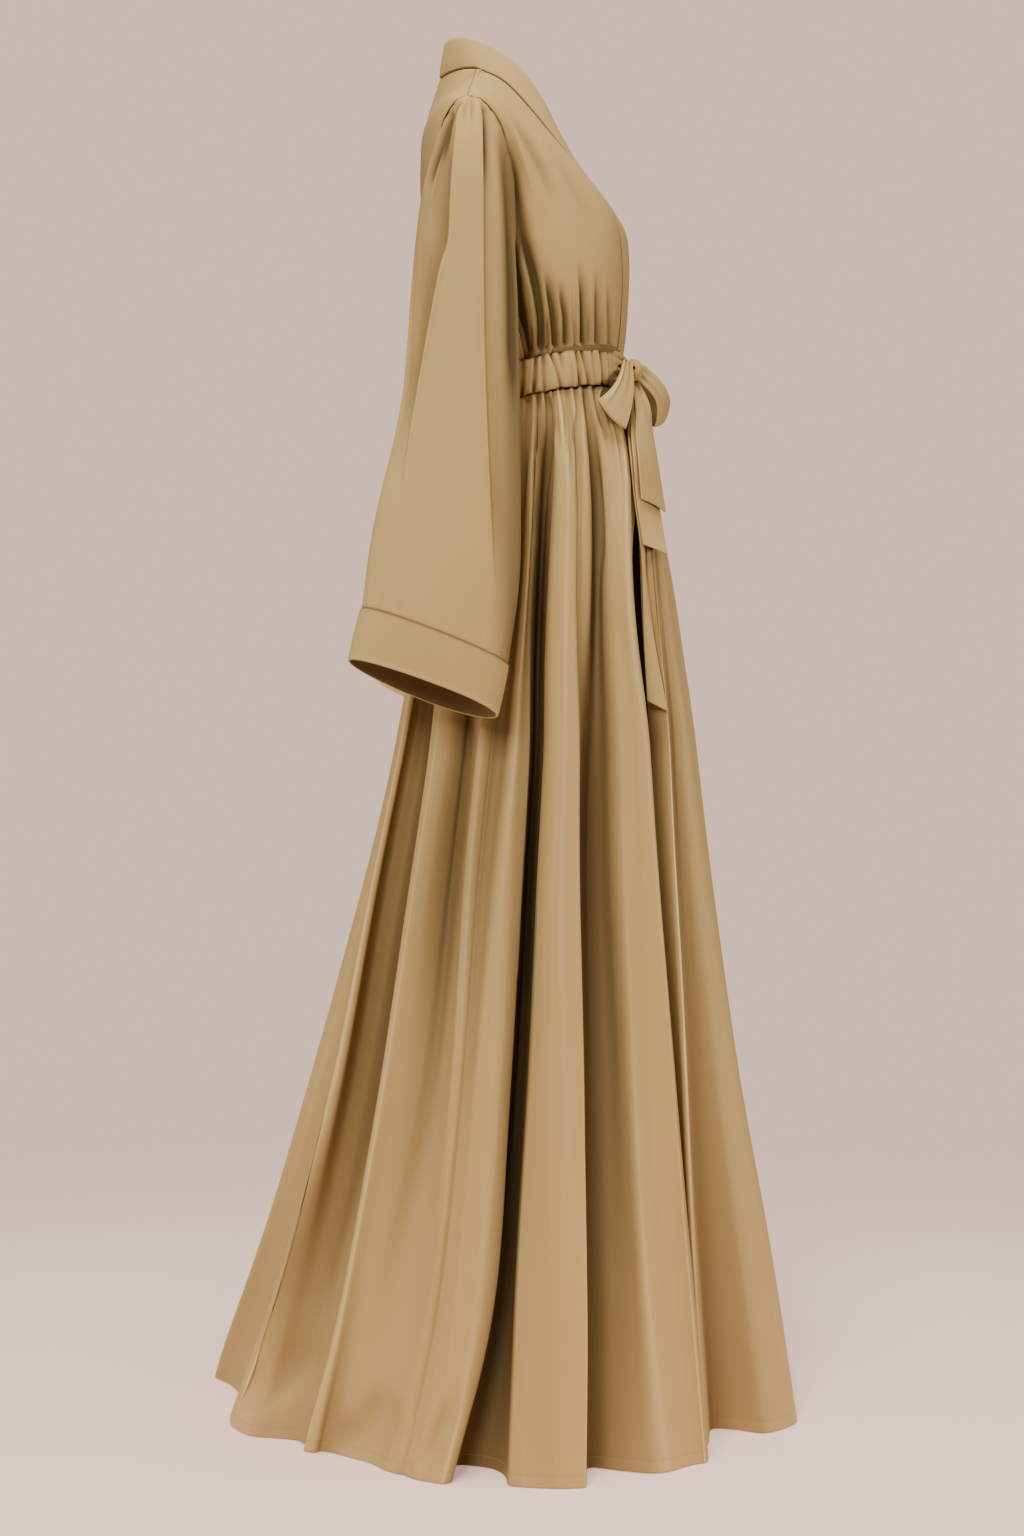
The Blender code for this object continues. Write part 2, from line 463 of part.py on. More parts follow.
# neck band: one strip from the right waist up, round the back neck and down to the left
neck = back[-1, 18:][np.linspace(0, 1, 19) < 0.42]
seam = np.concatenate([front[:, 0], neck[::-1]])
table = through(np.arange(16), BAND_ROWS, np.linspace(0, 15, 301))
nearest = np.array([np.argmin(np.linalg.norm(table[:, :3] - p, axis=1)) for p in seam])
nearest[0], nearest[-1] = 0, 300
rim = table[nearest, 3:]
across = np.linspace(0, 1, 4)[:, None, None]
half_band = seam[None] * (1 - across) + rim[None] * across
band = np.concatenate([half_band, mirror(half_band)[:, -2::-1]], axis=1)
band_out = normals(band)
if band_out[1, 5, 1] > 0:
    band_out = -band_out
# mitre the seam: panel and band share one normal along it
rows = len(front)
shared = unit(band_out[0, :rows] + front_out[:, 0])
band_out[0, :rows], front_out[:, 0] = shared, shared
band_out[0, -rows:] = mirror(shared)[::-1]
width = len(neck)
shared = unit(band_out[0, rows:rows + width] + back_out[-1, 18:18 + width][::-1])
band_out[0, rows:rows + width] = shared
back_out[-1, 18:18 + width] = shared[::-1]
band_out[0, -rows - width + 1:-rows] = mirror(shared)[:-1][::-1]
back_out[-1, 19 - width:19] = mirror(shared)
# mitre the shoulder seams
shared = unit(unit(front_out[-1, 1:].mean(0)) + unit(back_out[-1, 18 + width:].mean(0)))
front_out[-1, 1:] = shared
back_out[-1, 18 + width:] = shared
back_out[-1, :19 - width] = mirror(shared)
front_in, back_in = wall(front, CLOTH, front_out), wall(back, CLOTH, back_out)
band_in = wall(band, BAND, band_out)


def set_on_waist(*faces):
    """Level the first row of a panel with the upper edge of the waistband."""
    for face in faces:
        face[0, ..., 2] = waist_z(face[0, ..., 1]) + BAND_HEIGHT


set_on_waist(front, front_in, back, back_in)


def set_under(points, reference):
    """The left front lies behind the right where they cross below the neck."""
    low = np.clip((-0.100 - reference[..., 2]) / 0.030, 0, 1)
    moved = points.copy()
    moved[..., 1] += under(reference[..., 0], reference[..., 1]) * low
    return moved


def panel(name, outer, inner, ends, tint, gap=SEAM_GAP):
    return solid(name, *ease(outer.copy(), inner.copy(), gap, ends), tint=tint)


panel("bodice_front_right", front, front_in, (1, 1, 1, 1), 1.0)
left, left_in = set_under(mirror(front), mirror(front)), set_under(mirror(front_in), mirror(front))
set_on_waist(left, left_in)
panel("bodice_front_left", left, left_in, (1, 1, 1, 1), 0.97)
panel("bodice_back", back, back_in, (1, 1, 1, 1), 0.99)

columns = band.shape[1]
lap = 1 + 0.9 * np.linspace(0, 1, 4)[:, None]     # the free edge of the left half lies deepest
for face in (band, band_in):
    flat = band[:, columns // 2 + 1:].copy() if face is band else flat
    flat[..., 0] = np.minimum(flat[..., 0], 0.034)
    low = np.clip((-0.100 - flat[..., 2]) / 0.030, 0, 1)
    face[:, columns // 2 + 1:, 1] += under(flat[..., 0], flat[..., 1]) * low * lap
for face in (band, band_in):
    for end in (0, -1):
        face[:, end, 2] = waist_z(face[:, end, 1]) + BAND_HEIGHT
band, band_in = ease(band, band_in, SEAM_GAP * 3, (1, 0, 1, 1))
solid("neck_band", band, band_in, tint=0.96)


def waist_ring(bearing, out):
    turn = np.radians(bearing)
    mid, deep, half = -0.0635, 0.0935 + out, 0.140 + out
    return np.stack([-np.sin(turn) * half, mid - np.cos(turn) * deep], -1)


# waistband: one casing, right end over left end at the front
steps = 97
bearing = np.linspace(-4.0, 364.0, steps)
count = np.arange(steps)
calm = np.clip(np.minimum(count, steps - 1 - count) / 4.0, 0, 1)
rows = []
for k, h in enumerate(np.linspace(0, 1, 5)):
    ring = waist_ring(bearing, 0.0010 + (0.0014 * np.cos(count * np.pi / 2 + k * 0.3) * calm
                                        + 0.0012) * np.sin(np.pi * (0.15 + 0.7 * h)))
    tuck = under(ring[:, 0], ring[:, 1]) * (bearing > 180)
    ring[:, 1] += tuck
    z = waist_z(ring[:, 1]) + BAND_HEIGHT * h
    rows.append(np.column_stack([ring, z]))
casing = np.array(rows)
casing_in = wall(casing, BAND, normals(casing))
for edge, h in ((0, 0), (-1, 1)):
    casing_in[edge, :, 2] = waist_z(casing_in[edge, :, 1]) + BAND_HEIGHT * h
casing, casing_in = ease(casing, casing_in, SEAM_GAP, (1, 1, 0, 0))
solid("waistband", casing, casing_in, tint=0.95)


def pole(row, share):
    """Ring of the sleeve from its outer, inner, front and back points."""
    outside, inside, ahead, behind = row[:3], row[3:6], row[6:9], row[9:12]
    turn = share * 2 * np.pi
    c, s = np.cos(turn)[:, None], np.sin(turn)[:, None]
    middle = (outside + inside) / 2
    slide = (ahead + behind) / 2 - middle
    ring = middle + (outside - inside) / 2 * c
    ring = ring + np.where(s > 0, ahead - middle - slide, behind - middle - slide) * abs(s)
    return ring + slide * abs(s) ** 1.5


def sleeve(grid_front, grid_back, folds):
    ahead = grid_front[4:, -1][::-1]
    behind = grid_back[4:, -1]
    loop = np.concatenate([ahead, behind[1:], ])[:17]
    where = np.arange(SLEEVE_AROUND) / SLEEVE_AROUND * 16
    first = np.stack([np.interp(where, np.arange(17), loop[:, k]) for k in range(3)], 1)
    first[:, 0] -= SEAM_GAP * 3
    share = np.arange(SLEEVE_AROUND) / SLEEVE_AROUND
    keys = [first] + [pole(row, share) for row in SLEEVE_RINGS]
    at = np.array([0, 0.5, 1, 1.5, 2, 2.6, 3.3, 4, 5, 6])
    grid = through(np.arange(7), np.array(keys), at)
    out = -normals(grid, True)
    bearing = share * 360
    for angle, depth, reach in folds:
        apart = (bearing - angle + 180) % 360 - 180
        shape = np.exp(-(apart / 13.0) ** 2)
        down = at / 6
        size = np.sin(np.pi * np.clip(down / reach, 0, 1)) ** 0.8 * depth
        grid = grid + out * shape[None, :, None] * size[:, None, None]
    return grid


def tube(name, grid, thick, gap_ends, tint):
    out = -normals(grid, True)
    outer, inner = grid.copy(), grid - out * thick
    for face in (outer, inner):
        if gap_ends[0]:
            face[0] += unit(face[1] - face[0]) * SEAM_GAP
        if gap_ends[1]:
            face[-1] += unit(face[-2] - face[-1]) * SEAM_GAP
    if name.endswith("left"):
        outer, inner = mirror(outer), mirror(inner)
    solid(name, outer, inner, closed=True, tint=tint)


tube("sleeve_right", sleeve(front, back, SLEEVE_FOLDS[:, (0, 1, 2)]), CLOTH, (1, 1), 1.0)
tube("sleeve_left", sleeve(front, back, SLEEVE_FOLDS[:, (0, 1, 3)]), CLOTH, (1, 1), 1.0)
share = np.arange(SLEEVE_AROUND) / SLEEVE_AROUND
cuff_keys = np.array([pole(row, share) for row in CUFF_RINGS])
for side in ("right", "left"):
    tube("cuff_" + side, through([0, 1], cuff_keys, np.linspace(0, 1, 3)), BAND, (1, 0), 0.95)


def ribbon(name, edges, thick, steps, tint=0.95):
    """Strip between a left edge and a right edge."""
    path = through(np.arange(len(edges)), edges, np.linspace(0, len(edges) - 1, steps))
    across = np.linspace(0, 1, 3)[None, :, None]
    grid = path[:, None, :3] * (1 - across) + path[:, None, 3:] * across
    return solid(name, grid, grid + normals(grid) * thick, tint=tint)


ribbon("tail_upper", TAIL_UPPER, RIBBON, 9)
ribbon("tail_middle", TAIL_MIDDLE, RIBBON, 11)
ribbon("tail_lower", TAIL_LOWER, RIBBON, 17)


def loop(name, start, end, wide, near, far, bulge, narrow):
    """Bow loop: out along one layer, round the fold and back along the other."""
    along = end - start
    length = np.linalg.norm(along)
    d = along / length
    w = unit(wide - d * np.dot(wide, d))
    n = unit(np.cross(d, w))
    if n[1] > 0:
        n = -n
    t = np.linspace(0, 1, 21)
    turn = (t - 0.5) * 2 * np.pi * 0.97
    out = (1 + np.cos(turn)) / 2
    open_ = np.sin(turn) * (0.35 + 0.65 * np.sin(np.pi * np.clip(out, 0, 1)) ** 0.7)
    half = narrow + (near - narrow) * np.sin(out * np.pi / 2) ** 0.8
    across = np.linspace(-1, 1, 4)
    grid = np.empty((len(t), len(across), 3))
    for k, a in enumerate(across):
        shape = bulge * (1 - 0.15 * a * a)
        lift = 0.0035 * np.sign(turn) * (1 - out)
        grid[:, k] = (start + d * (length * out)[:, None] + w * (a * half)[:, None]
                      + n * (open_ * shape + lift + far * out)[:, None])
    return solid(name, grid, grid - normals(grid) * RIBBON, tint=0.97)


loop("bow_loop_right", np.array((-0.0222, -0.1818, -0.3120)), np.array((-0.1180, -0.1510, -0.3710)),
     np.array((0.620, -0.490, -0.610)), 0.0235, 0.002, 0.0085, 0.0070)
loop("bow_loop_left", np.array((0.0085, -0.1795, -0.3120)), np.array((0.0560, -0.2060, -0.3620)),
     np.array((-0.54, -0.54, -0.64)), 0.0215, 0.004, 0.0150, 0.0075)

# knot: the wrap of the tie round the neck of the bow
turn = np.linspace(0, 2 * np.pi, 17)[:-1]
rows = []
for h in np.linspace(-1, 1, 5):
    size = 1 - 0.22 * h * h
    rows.append(np.stack([np.full(16, KNOT[0] + h * 0.0085), KNOT[1] + np.cos(turn) * 0.0095 * size,
                          KNOT[2] + np.sin(turn) * 0.0125 * size], 1))
grid = np.array(rows)
solid("bow_knot", grid, wall(grid, 0.0022, -normals(grid, True), True), closed=True, tint=0.93)


def strap(name, bearings, low, high, start, lift, tint):
    """Narrow end of the waistband, lying on it and running to the knot."""
    steps = 7
    share = np.linspace(0, 1, steps)
    turn = bearings[0] + (bearings[1] - bearings[0]) * share
    rows = []
    for side in (0, 0.5, 1):
        ring = waist_ring(turn, start + lift * share)
        bottom = low[0] + (low[1] - low[0]) * share
        top = high[0] + (high[1] - high[0]) * share
        rows.append(np.column_stack([ring, bottom + (top - bottom) * side]))
    grid = np.array(rows)
    out = normals(grid)
    if np.sum(out[..., 1]) > 0:
        out = -out
    return solid(name, grid, grid - out * RIBBON, tint=tint)


strap("belt_strap_right", (24.0, 6.9), (-0.3320, -0.3220), (-0.3010, -0.3040), 0.0075, 0.0037, 0.95)
strap("belt_strap_left", (-24.0, -0.9), (-0.3320, -0.3220), (-0.3010, -0.3040), 0.0065, 0.0047, 0.95)
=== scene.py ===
import math
import bpy
import numpy as np
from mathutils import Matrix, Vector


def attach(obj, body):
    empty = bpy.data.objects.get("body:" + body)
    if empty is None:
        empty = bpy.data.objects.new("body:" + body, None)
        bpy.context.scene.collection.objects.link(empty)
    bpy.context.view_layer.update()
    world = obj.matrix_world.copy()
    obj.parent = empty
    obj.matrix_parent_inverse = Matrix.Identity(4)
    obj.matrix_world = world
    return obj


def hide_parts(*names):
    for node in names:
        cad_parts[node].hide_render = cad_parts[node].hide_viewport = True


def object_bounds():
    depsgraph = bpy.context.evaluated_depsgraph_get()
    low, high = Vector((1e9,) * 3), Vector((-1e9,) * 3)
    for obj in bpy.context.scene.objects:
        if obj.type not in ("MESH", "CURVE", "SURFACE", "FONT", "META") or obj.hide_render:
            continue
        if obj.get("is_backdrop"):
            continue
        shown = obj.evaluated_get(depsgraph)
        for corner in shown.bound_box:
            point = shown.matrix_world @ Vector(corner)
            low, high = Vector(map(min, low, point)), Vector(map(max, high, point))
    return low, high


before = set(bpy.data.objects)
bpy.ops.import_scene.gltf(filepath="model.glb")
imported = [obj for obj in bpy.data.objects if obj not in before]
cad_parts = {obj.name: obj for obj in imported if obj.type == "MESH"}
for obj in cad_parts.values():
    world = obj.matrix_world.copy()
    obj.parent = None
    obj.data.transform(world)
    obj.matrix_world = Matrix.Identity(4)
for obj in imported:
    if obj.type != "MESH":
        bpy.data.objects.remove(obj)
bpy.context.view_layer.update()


# helpers for curves and cloth surfaces
def through(knots, keys, at, slack=None):  # smooth curve through keys; slack below 1 makes a corner crisper
    knots, keys, at = (np.asarray(a, float) for a in (knots, keys, at))
    step = np.diff(knots)
    shape = (-1,) + (1,) * (keys.ndim - 1)
    slope = np.diff(keys, axis=0) / step.reshape(shape)
    lean = np.empty_like(keys)
    lean[0], lean[-1] = slope[0], slope[-1]
    if len(keys) > 2:
        before, after = step[:-1].reshape(shape), step[1:].reshape(shape)
        lean[1:-1] = (slope[:-1] * after + slope[1:] * before) / (before + after)
    if slack is not None:
        lean = lean * slack.reshape(shape)
    cell = np.clip(np.searchsorted(knots, at, side="right") - 1, 0, len(step) - 1)
    wide = step[cell].reshape(shape)
    t = ((at - knots[cell]) / step[cell]).reshape(shape)
    return ((2 * t ** 3 - 3 * t ** 2 + 1) * keys[cell] + (t ** 3 - 2 * t ** 2 + t) * wide * lean[cell]
            + (3 * t ** 2 - 2 * t ** 3) * keys[cell + 1] + (t ** 3 - t ** 2) * wide * lean[cell + 1])


def unit(v):
    return v / np.maximum(np.linalg.norm(v, axis=-1, keepdims=True), 1e-12)


def smooth(x):
    x = np.clip(x, 0, 1)
    return x * x * (3 - 2 * x)


def run(points):  # distance along a line of points
    return np.concatenate([[0], np.cumsum(np.linalg.norm(np.diff(points, axis=0), axis=1))])


def evenly(points, distances):  # points at given distances along a line
    length = run(points)
    return np.stack([np.interp(distances, length, points[:, k]) for k in range(points.shape[1])], 1)


def spaced(length, step, start=True, end=True):  # distances along an edge, closer together near a seam
    near = np.array([0, 0.0006, 0.0014, 0.0028, 0.005])
    first = near if start else near[:1]
    last = (length - near[::-1]) if end else np.array([length])
    count = max(int(round((last[0] - first[-1]) / step)), 2)
    middle = np.linspace(first[-1], last[0], count + 1)[1:-1]
    return np.concatenate([first, middle, last])


def outward(grid, closed=False):  # normals that point away from the middle of the garment, or of a tube
    if closed:
        across = np.roll(grid, -1, 1) - np.roll(grid, 1, 1)
    else:
        across = np.gradient(grid, axis=1)
    n = unit(np.cross(across, np.gradient(grid, axis=0)))
    away = grid - (grid.mean(1, keepdims=True) if closed else 0)
    if not closed:
        away = away - np.array([0, -0.06, 0])
    away[..., 2] = 0
    return n if np.sum(n * away) > 0 else -n


def mirror(points):
    flipped = points.copy()
    flipped[..., 0] *= -1
    return flipped


def tuckUnder(grid, out, side, reach, sink):  # one more row or column, passing under the neighbouring piece
    grid = grid.copy()
    pick = {"first row": ((0,), (1,), 0), "last row": ((-1,), (-2,), 0),
            "first column": ((slice(None), 0), (slice(None), 1), 1),
            "last column": ((slice(None), -1), (slice(None), -2), 1)}[side]
    edge, near, axis = grid[pick[0]], grid[pick[1]], pick[2]
    reach, sink = np.asarray(reach)[..., None], np.asarray(sink)[..., None]
    extra = edge + unit(edge - near) * reach - out[pick[0]] * sink
    lowered = edge - out[pick[0]] * sink * 0.75
    grid[pick[0]] = lowered
    if side.startswith("first"):
        return np.insert(grid, 0, extra, axis=axis)
    return np.concatenate([grid, np.expand_dims(extra, axis)], axis=axis)


def fromEdge(grid, side):  # distance along the cloth from one of its edges
    rows = side.endswith("row")
    lines = grid if rows else np.swapaxes(grid, 0, 1)
    if side.startswith("last"):
        lines = lines[::-1]
    gone = np.concatenate([np.zeros((1,) + lines.shape[1:2]),
                           np.cumsum(np.linalg.norm(np.diff(lines, axis=0), axis=2), axis=0)])
    if side.startswith("last"):
        gone = gone[::-1]
    return gone if rows else gone.T


def pinch(grid, out, side, depth=0.0005, width=0.0014):  # cloth dips where it meets a seam
    return grid - out * (depth * np.exp(-(fromEdge(grid, side) / width) ** 2))[..., None]


def seamShade(grid, sides, strength=0.75, width=0.0013):  # painted shade, a thin dark line along a seam; a negative strength paints a highlight there instead
    return sum(strength * np.exp(-(fromEdge(grid, side) / width) ** 2) for side in sides)


def sunkShade(before, after, out, scale, lit=0.16):  # painted shade where a fold was pressed in, painted highlight on its edges
    sunk = np.sum((before - after) * out, axis=2) / scale
    return np.where(sunk > 0, np.clip(sunk, 0, 1) ** 1.2 * 0.85, np.clip(sunk, -1, 0) * lit)


def furrows(grid, out, lines, side=-1):
    # folds drawn in the side view, each from the top down:
    # depth, width towards the back, width towards the front, fade at top, fade at bottom, y z y z ...
    shape = grid.shape[:2]
    flat = grid[..., 1:].reshape(-1, 2)
    total = np.zeros(len(flat))
    for depth, back, front, fadeIn, fadeOut, *path in lines:
        path = np.array(path, float).reshape(-1, 2)
        path = through(np.arange(len(path)), path, np.linspace(0, len(path) - 1, 4 * len(path)))
        gone = run(path) / run(path)[-1]
        best = np.full(len(flat), 9.0)
        along, where = np.zeros(len(flat)), np.zeros(len(flat))
        for i in range(len(path) - 1):
            a, d = path[i], path[i + 1] - path[i]
            t = np.clip(((flat - a) @ d) / (d @ d), 0, 1)
            gap = flat - a - t[:, None] * d
            far = np.linalg.norm(gap, axis=1)
            closer = far < best
            best[closer] = far[closer]
            where[closer] = np.sign(d[0] * gap[closer, 1] - d[1] * gap[closer, 0]) * -1
            along[closer] = (gone[i] + (gone[i + 1] - gone[i]) * t[closer])
        wide = np.where(where < 0, back, front)
        fade = smooth(along / fadeIn) if fadeIn else 1.0
        fade = fade * (smooth((1 - along) / fadeOut) if fadeOut else 1.0)
        total += depth * fade * np.exp(-(best / wide) ** 2)
    facing = smooth((out[..., 0] * side - 0.05) / 0.35)
    return grid - out * (total.reshape(shape) * facing)[..., None]


def ripples(place, depthBelow, seed, spacing, size, reach):  # small gathers that hang from a seam
    draw = np.random.default_rng(seed)
    total = np.zeros(np.broadcast(place, depthBelow).shape)
    centre = place.min() + spacing * 0.5
    while centre < place.max():
        wide = draw.uniform(0.2, 0.34) * spacing
        tall = size * draw.uniform(0.55, 1.25)
        long = reach * draw.uniform(0.35, 1.6)
        drift = draw.uniform(-0.05, 0.05)
        rise = 0.45 + 0.55 * smooth(depthBelow / 0.01)
        total += tall * rise * np.exp(-((place - centre - drift * depthBelow) / wide) ** 2
                                      - (depthBelow / long) ** 2)
        centre += spacing * draw.uniform(0.72, 1.3)
    return total


def openness(grid, facing, reach, closed=False):
    # how far neighbouring folds close each point in: 0 on an open panel, towards 1 deep in a fold,
    # below 0 along a fold's edge; the callers paint it into the colour as shade, and on the skirt below 0
    # as a highlight
    def horizon(shift, axis):
        other = np.roll(grid, -shift, axis)
        gap = other - grid
        rise = np.sum(gap * facing, 2)
        far = np.sqrt(np.maximum(np.sum(gap * gap, 2) - rise ** 2, 1e-8))
        slope = rise / np.maximum(far, 0.0004)
        if not (closed and axis == 1):
            index = [slice(None), slice(None)]
            index[axis] = slice(-shift, None) if shift > 0 else slice(0, -shift)
            slope[tuple(index)] = -1e-6
        return slope

    shut, ridge = 0.0, 0.0
    for way in (1, -1):
        steepest = np.zeros(grid.shape[:2])
        for shift in reach:
            steepest = np.maximum(steepest, horizon(way * shift, 1))
        shut = shut + np.sin(np.arctan(steepest)) / 2
        ridge = ridge + np.clip(-(horizon(way * 2, 1) + horizon(way * 4, 1)) / 2, 0, 1) / 2
    return shut - ridge * 0.5 * (shut < 0.15)


def clothMesh(name, outer, inner, closed=False, hollow=None, inside=0.5):
    # closed cloth between an outer and an inner face, its free edges rounded over;
    # the painted shade of each outer point, dark as deep in a fold and below 0 a painted highlight, is
    # stored as a point attribute, and inside is the least painted shade of the inner face
    rows, cols = outer.shape[:2]
    base = rows * cols
    index = np.arange(base).reshape(rows, cols)
    faces = []

    def weave(a, b, c, d):
        faces.append(np.stack([a.ravel(), b.ravel(), c.ravel(), d.ravel()], 1))

    wrap = np.concatenate([index, index[:, :1]], 1) if closed else index
    weave(wrap[:-1, :-1], wrap[:-1, 1:], wrap[1:, 1:], wrap[1:, :-1])
    weave(base + wrap[:-1, :-1], base + wrap[1:, :-1], base + wrap[1:, 1:], base + wrap[:-1, 1:])
    if closed:
        rims = [(index[0], index[1]), (index[-1][::-1], index[-2][::-1])]
    else:
        rims = [(np.concatenate([index[0], index[1:, -1], index[-1, -2::-1], index[-2:0:-1, 0]]),
                 np.concatenate([index[1], index[1:, -2], index[-2, -2::-1], index[-2:0:-1, 1]]))]
    flatOuter, flatInner = outer.reshape(-1, 3), inner.reshape(-1, 3)
    extra, start = [], 2 * base
    for edge, near in rims:
        middle = (flatOuter[edge] + flatInner[edge]) / 2
        thick = np.linalg.norm(flatOuter[edge] - flatInner[edge], axis=1)[:, None]
        extra.append(middle + unit(flatOuter[edge] - flatOuter[near]) * thick * 0.42)
        mid = np.arange(start, start + len(edge))
        start += len(edge)
        e, m = np.append(edge, edge[0]), np.append(mid, mid[0])
        weave(e[1:], e[:-1], m[:-1], m[1:])
        weave(m[1:], m[:-1], base + e[:-1], base + e[1:])
    verts = np.concatenate([flatOuter, flatInner] + extra)
    faces = np.concatenate(faces)
    quad = verts[faces]
    volume = np.sum(quad[:, 0] * np.cross(quad[:, 1], quad[:, 2])) + np.sum(
        quad[:, 0] * np.cross(quad[:, 2], quad[:, 3]))
    if volume < 0:
        faces = faces[:, ::-1]
    mesh = bpy.data.meshes.new(name)
    mesh.vertices.add(len(verts))
    mesh.vertices.foreach_set("co", verts.astype(np.float32).ravel())
    mesh.loops.add(faces.size)
    mesh.loops.foreach_set("vertex_index", faces.astype(np.int32).ravel())
    mesh.polygons.add(len(faces))
    mesh.polygons.foreach_set("loop_start", np.arange(0, faces.size, 4, dtype=np.int32))
    mesh.polygons.foreach_set("use_smooth", np.ones(len(faces), bool))
    # the weave follows the cut: both directions in metres along the cloth
    acrossGone = np.concatenate([np.zeros((rows, 1)), np.cumsum(
        np.linalg.norm(np.diff(outer, axis=1), axis=2), axis=1)], 1)
    acrossGone -= acrossGone[:, cols // 2:cols // 2 + 1]
    alongGone = np.concatenate([np.zeros((1, cols)), np.cumsum(
        np.linalg.norm(np.diff(outer, axis=0), axis=2), axis=0)])
    place = np.stack([acrossGone, alongGone], 2).reshape(-1, 2)
    place = np.concatenate([place, place] + [place[edge] for edge, near in rims])
    layer = mesh.uv_layers.new(name="cut")
    layer.data.foreach_set("uv", place[faces.ravel()].astype(np.float32).ravel())
    shade = np.zeros(len(verts))
    if hollow is not None:
        flat = hollow.ravel()
        shade = np.concatenate([flat, flat * (1 - inside) + inside] + [flat[edge] for edge, near in rims])
    mesh.attributes.new("hollow", "FLOAT", "POINT").data.foreach_set("value", shade.astype(np.float32))
    mesh.update(calc_edges=True)
    piece = bpy.data.objects.new(name, mesh)
    bpy.context.collection.objects.link(piece)
    area = sum(p.area for p in mesh.polygons) / 2
    print(f"{name}: {len(faces) * 2} triangles, cloth {area:.4f} m2")
    return piece


# what the whole cloak shares
cloak = {
    "wall": 0.0012,        # one layer of satin crepe with its turned edge
    "floor": -1.4445,      # hem
    "waistLow": -0.36,     # lower edge of the waistband at the side
    "waistRise": 0.24,     # the waist climbs towards the front, per metre of depth
    "waistMiddle": -0.06,  # and the y at which it has that height
    "bandHeight": 0.0375,
    "under": 0.0055,       # the left front passes this far under the right one
    "tuckReach": 0.004,    # how far an edge runs on under its neighbour
    "tuckSink": 0.0018,    # and how far it sinks there
    "shutShade": 0.35,     # painted shade of a place closed in by its neighbours on the bodice and sleeves
}


def waistHeight(y):
    return cloak["waistLow"] - cloak["waistRise"] * (y - cloak["waistMiddle"])


def under(x, y):  # how far back the left side lies where the fronts cross
    return cloak["under"] * smooth((0.06 - x) / 0.05) * (y < -0.06)


# camera, light and floor
studio = {
    "eye": (-2.57, -0.042, -0.7475), "lens": 54.87, "sensor": 36.0,
    "backdrop": (1.07, 0.75, 0.616), "airLight": (0.13, 0.112, 0.1),
    # lamps: place, aimed at, size, power, colour
    "lamps": [((-3.3, 0.7, 0.5), (0, 0, -0.7), 1.0, 96, (1.0, 0.99, 0.97)),
              ((0.1, 2.9, -1.0), (0, 0, -1.05), 1.0, 40, (1.0, 0.99, 0.97)),
              ((-0.3, -2.9, -0.7), (0, 0, -0.85), 1.0, 48, (1.0, 0.99, 0.97)),
              ((-0.9, 0.0, 2.3), (-0.2, 0, -1.4), 1.5, 125, (1.0, 0.99, 0.97)),
              ((2.6, 0.0, 1.6), (0, 0, -0.8), 2.0, 14, (1.0, 0.98, 0.95))],
    "floorSize": 2.6, "floorFade": (1.45, 2.45), "floorColour": (0.86, 0.63, 0.54),
    "floorGlow": (1.0, 0.66, 0.54), "floorGlowStrength": 0.45,
}


def aim(place, target):
    way = np.array(target, float) - np.array(place, float)
    flat = math.hypot(way[0], way[1])
    return (math.pi / 2 + math.atan2(way[2], flat), 0, math.atan2(way[1], way[0]) - math.pi / 2)


bpy.ops.object.select_all(action="DESELECT")
bpy.ops.object.camera_add(location=studio["eye"], rotation=(math.radians(90), 0, math.radians(-90)))
camera = bpy.context.object
camera.name = "camera"
camera.data.lens, camera.data.sensor_width = studio["lens"], studio["sensor"]
bpy.context.scene.camera = camera
for place, target, size, power, colour in studio["lamps"]:
    bpy.ops.object.light_add(type="AREA", location=place, rotation=aim(place, target))
    lamp = bpy.context.object.data
    lamp.size, lamp.energy, lamp.color = size, power, colour
air = bpy.data.worlds.new("air")
bpy.context.scene.world = air
air.use_nodes = True
sky = air.node_tree
soft = sky.nodes["Background"]
soft.inputs["Color"].default_value = (*studio["airLight"], 1)
plain = sky.nodes.new("ShaderNodeBackground")
plain.inputs["Color"].default_value = (*studio["backdrop"], 1)
seen, either = sky.nodes.new("ShaderNodeLightPath"), sky.nodes.new("ShaderNodeMixShader")
sky.links.new(seen.outputs["Is Camera Ray"], either.inputs[0])
sky.links.new(soft.outputs[0], either.inputs[1])
sky.links.new(plain.outputs[0], either.inputs[2])
sky.links.new(either.outputs[0], sky.nodes["World Output"].inputs["Surface"])
bpy.ops.mesh.primitive_circle_add(vertices=96, radius=studio["floorSize"], fill_type="NGON",
                                  location=(0, 0, 0))
floor = bpy.context.object
floor.name = "floor"
for corner in floor.data.vertices:
    corner.co.z = cloak["floor"] - 0.0012
floor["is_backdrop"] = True
print("camera, lamps and floor")


# materials
class Wire:  # one output of a shader node, with arithmetic
    def __init__(self, tree, socket=None):
        self.tree, self.socket = tree, socket

    def node(self, kind, settings=None, inputs=None, out=0):
        made = self.tree.nodes.new(kind)
        for name, value in (settings or {}).items():
            if name == "stops":
                ramp = made.color_ramp
                while len(ramp.elements) < len(value):
                    ramp.elements.new(1.0)
                for stop, (place, colour) in zip(ramp.elements, value):
                    stop.position, stop.color = place, colour
            else:
                setattr(made, name, value)
        for name, value in (inputs or {}).items():
            if isinstance(value, Wire):
                self.tree.links.new(value.socket, made.inputs[name])
            else:
                made.inputs[name].default_value = value
        return Wire(self.tree, made.outputs[out])

    def sum(self, way, a, b):
        return self.node("ShaderNodeMath", {"operation": way}, {0: a, 1: b})

    def __add__(self, other):
        return self.sum("ADD", self, other)

    def __sub__(self, other):
        return self.sum("SUBTRACT", self, other)

    def __rsub__(self, other):
        return self.sum("SUBTRACT", other, self)

    def __mul__(self, other):
        return self.sum("MULTIPLY", self, other)

    __radd__, __rmul__ = __add__, __mul__


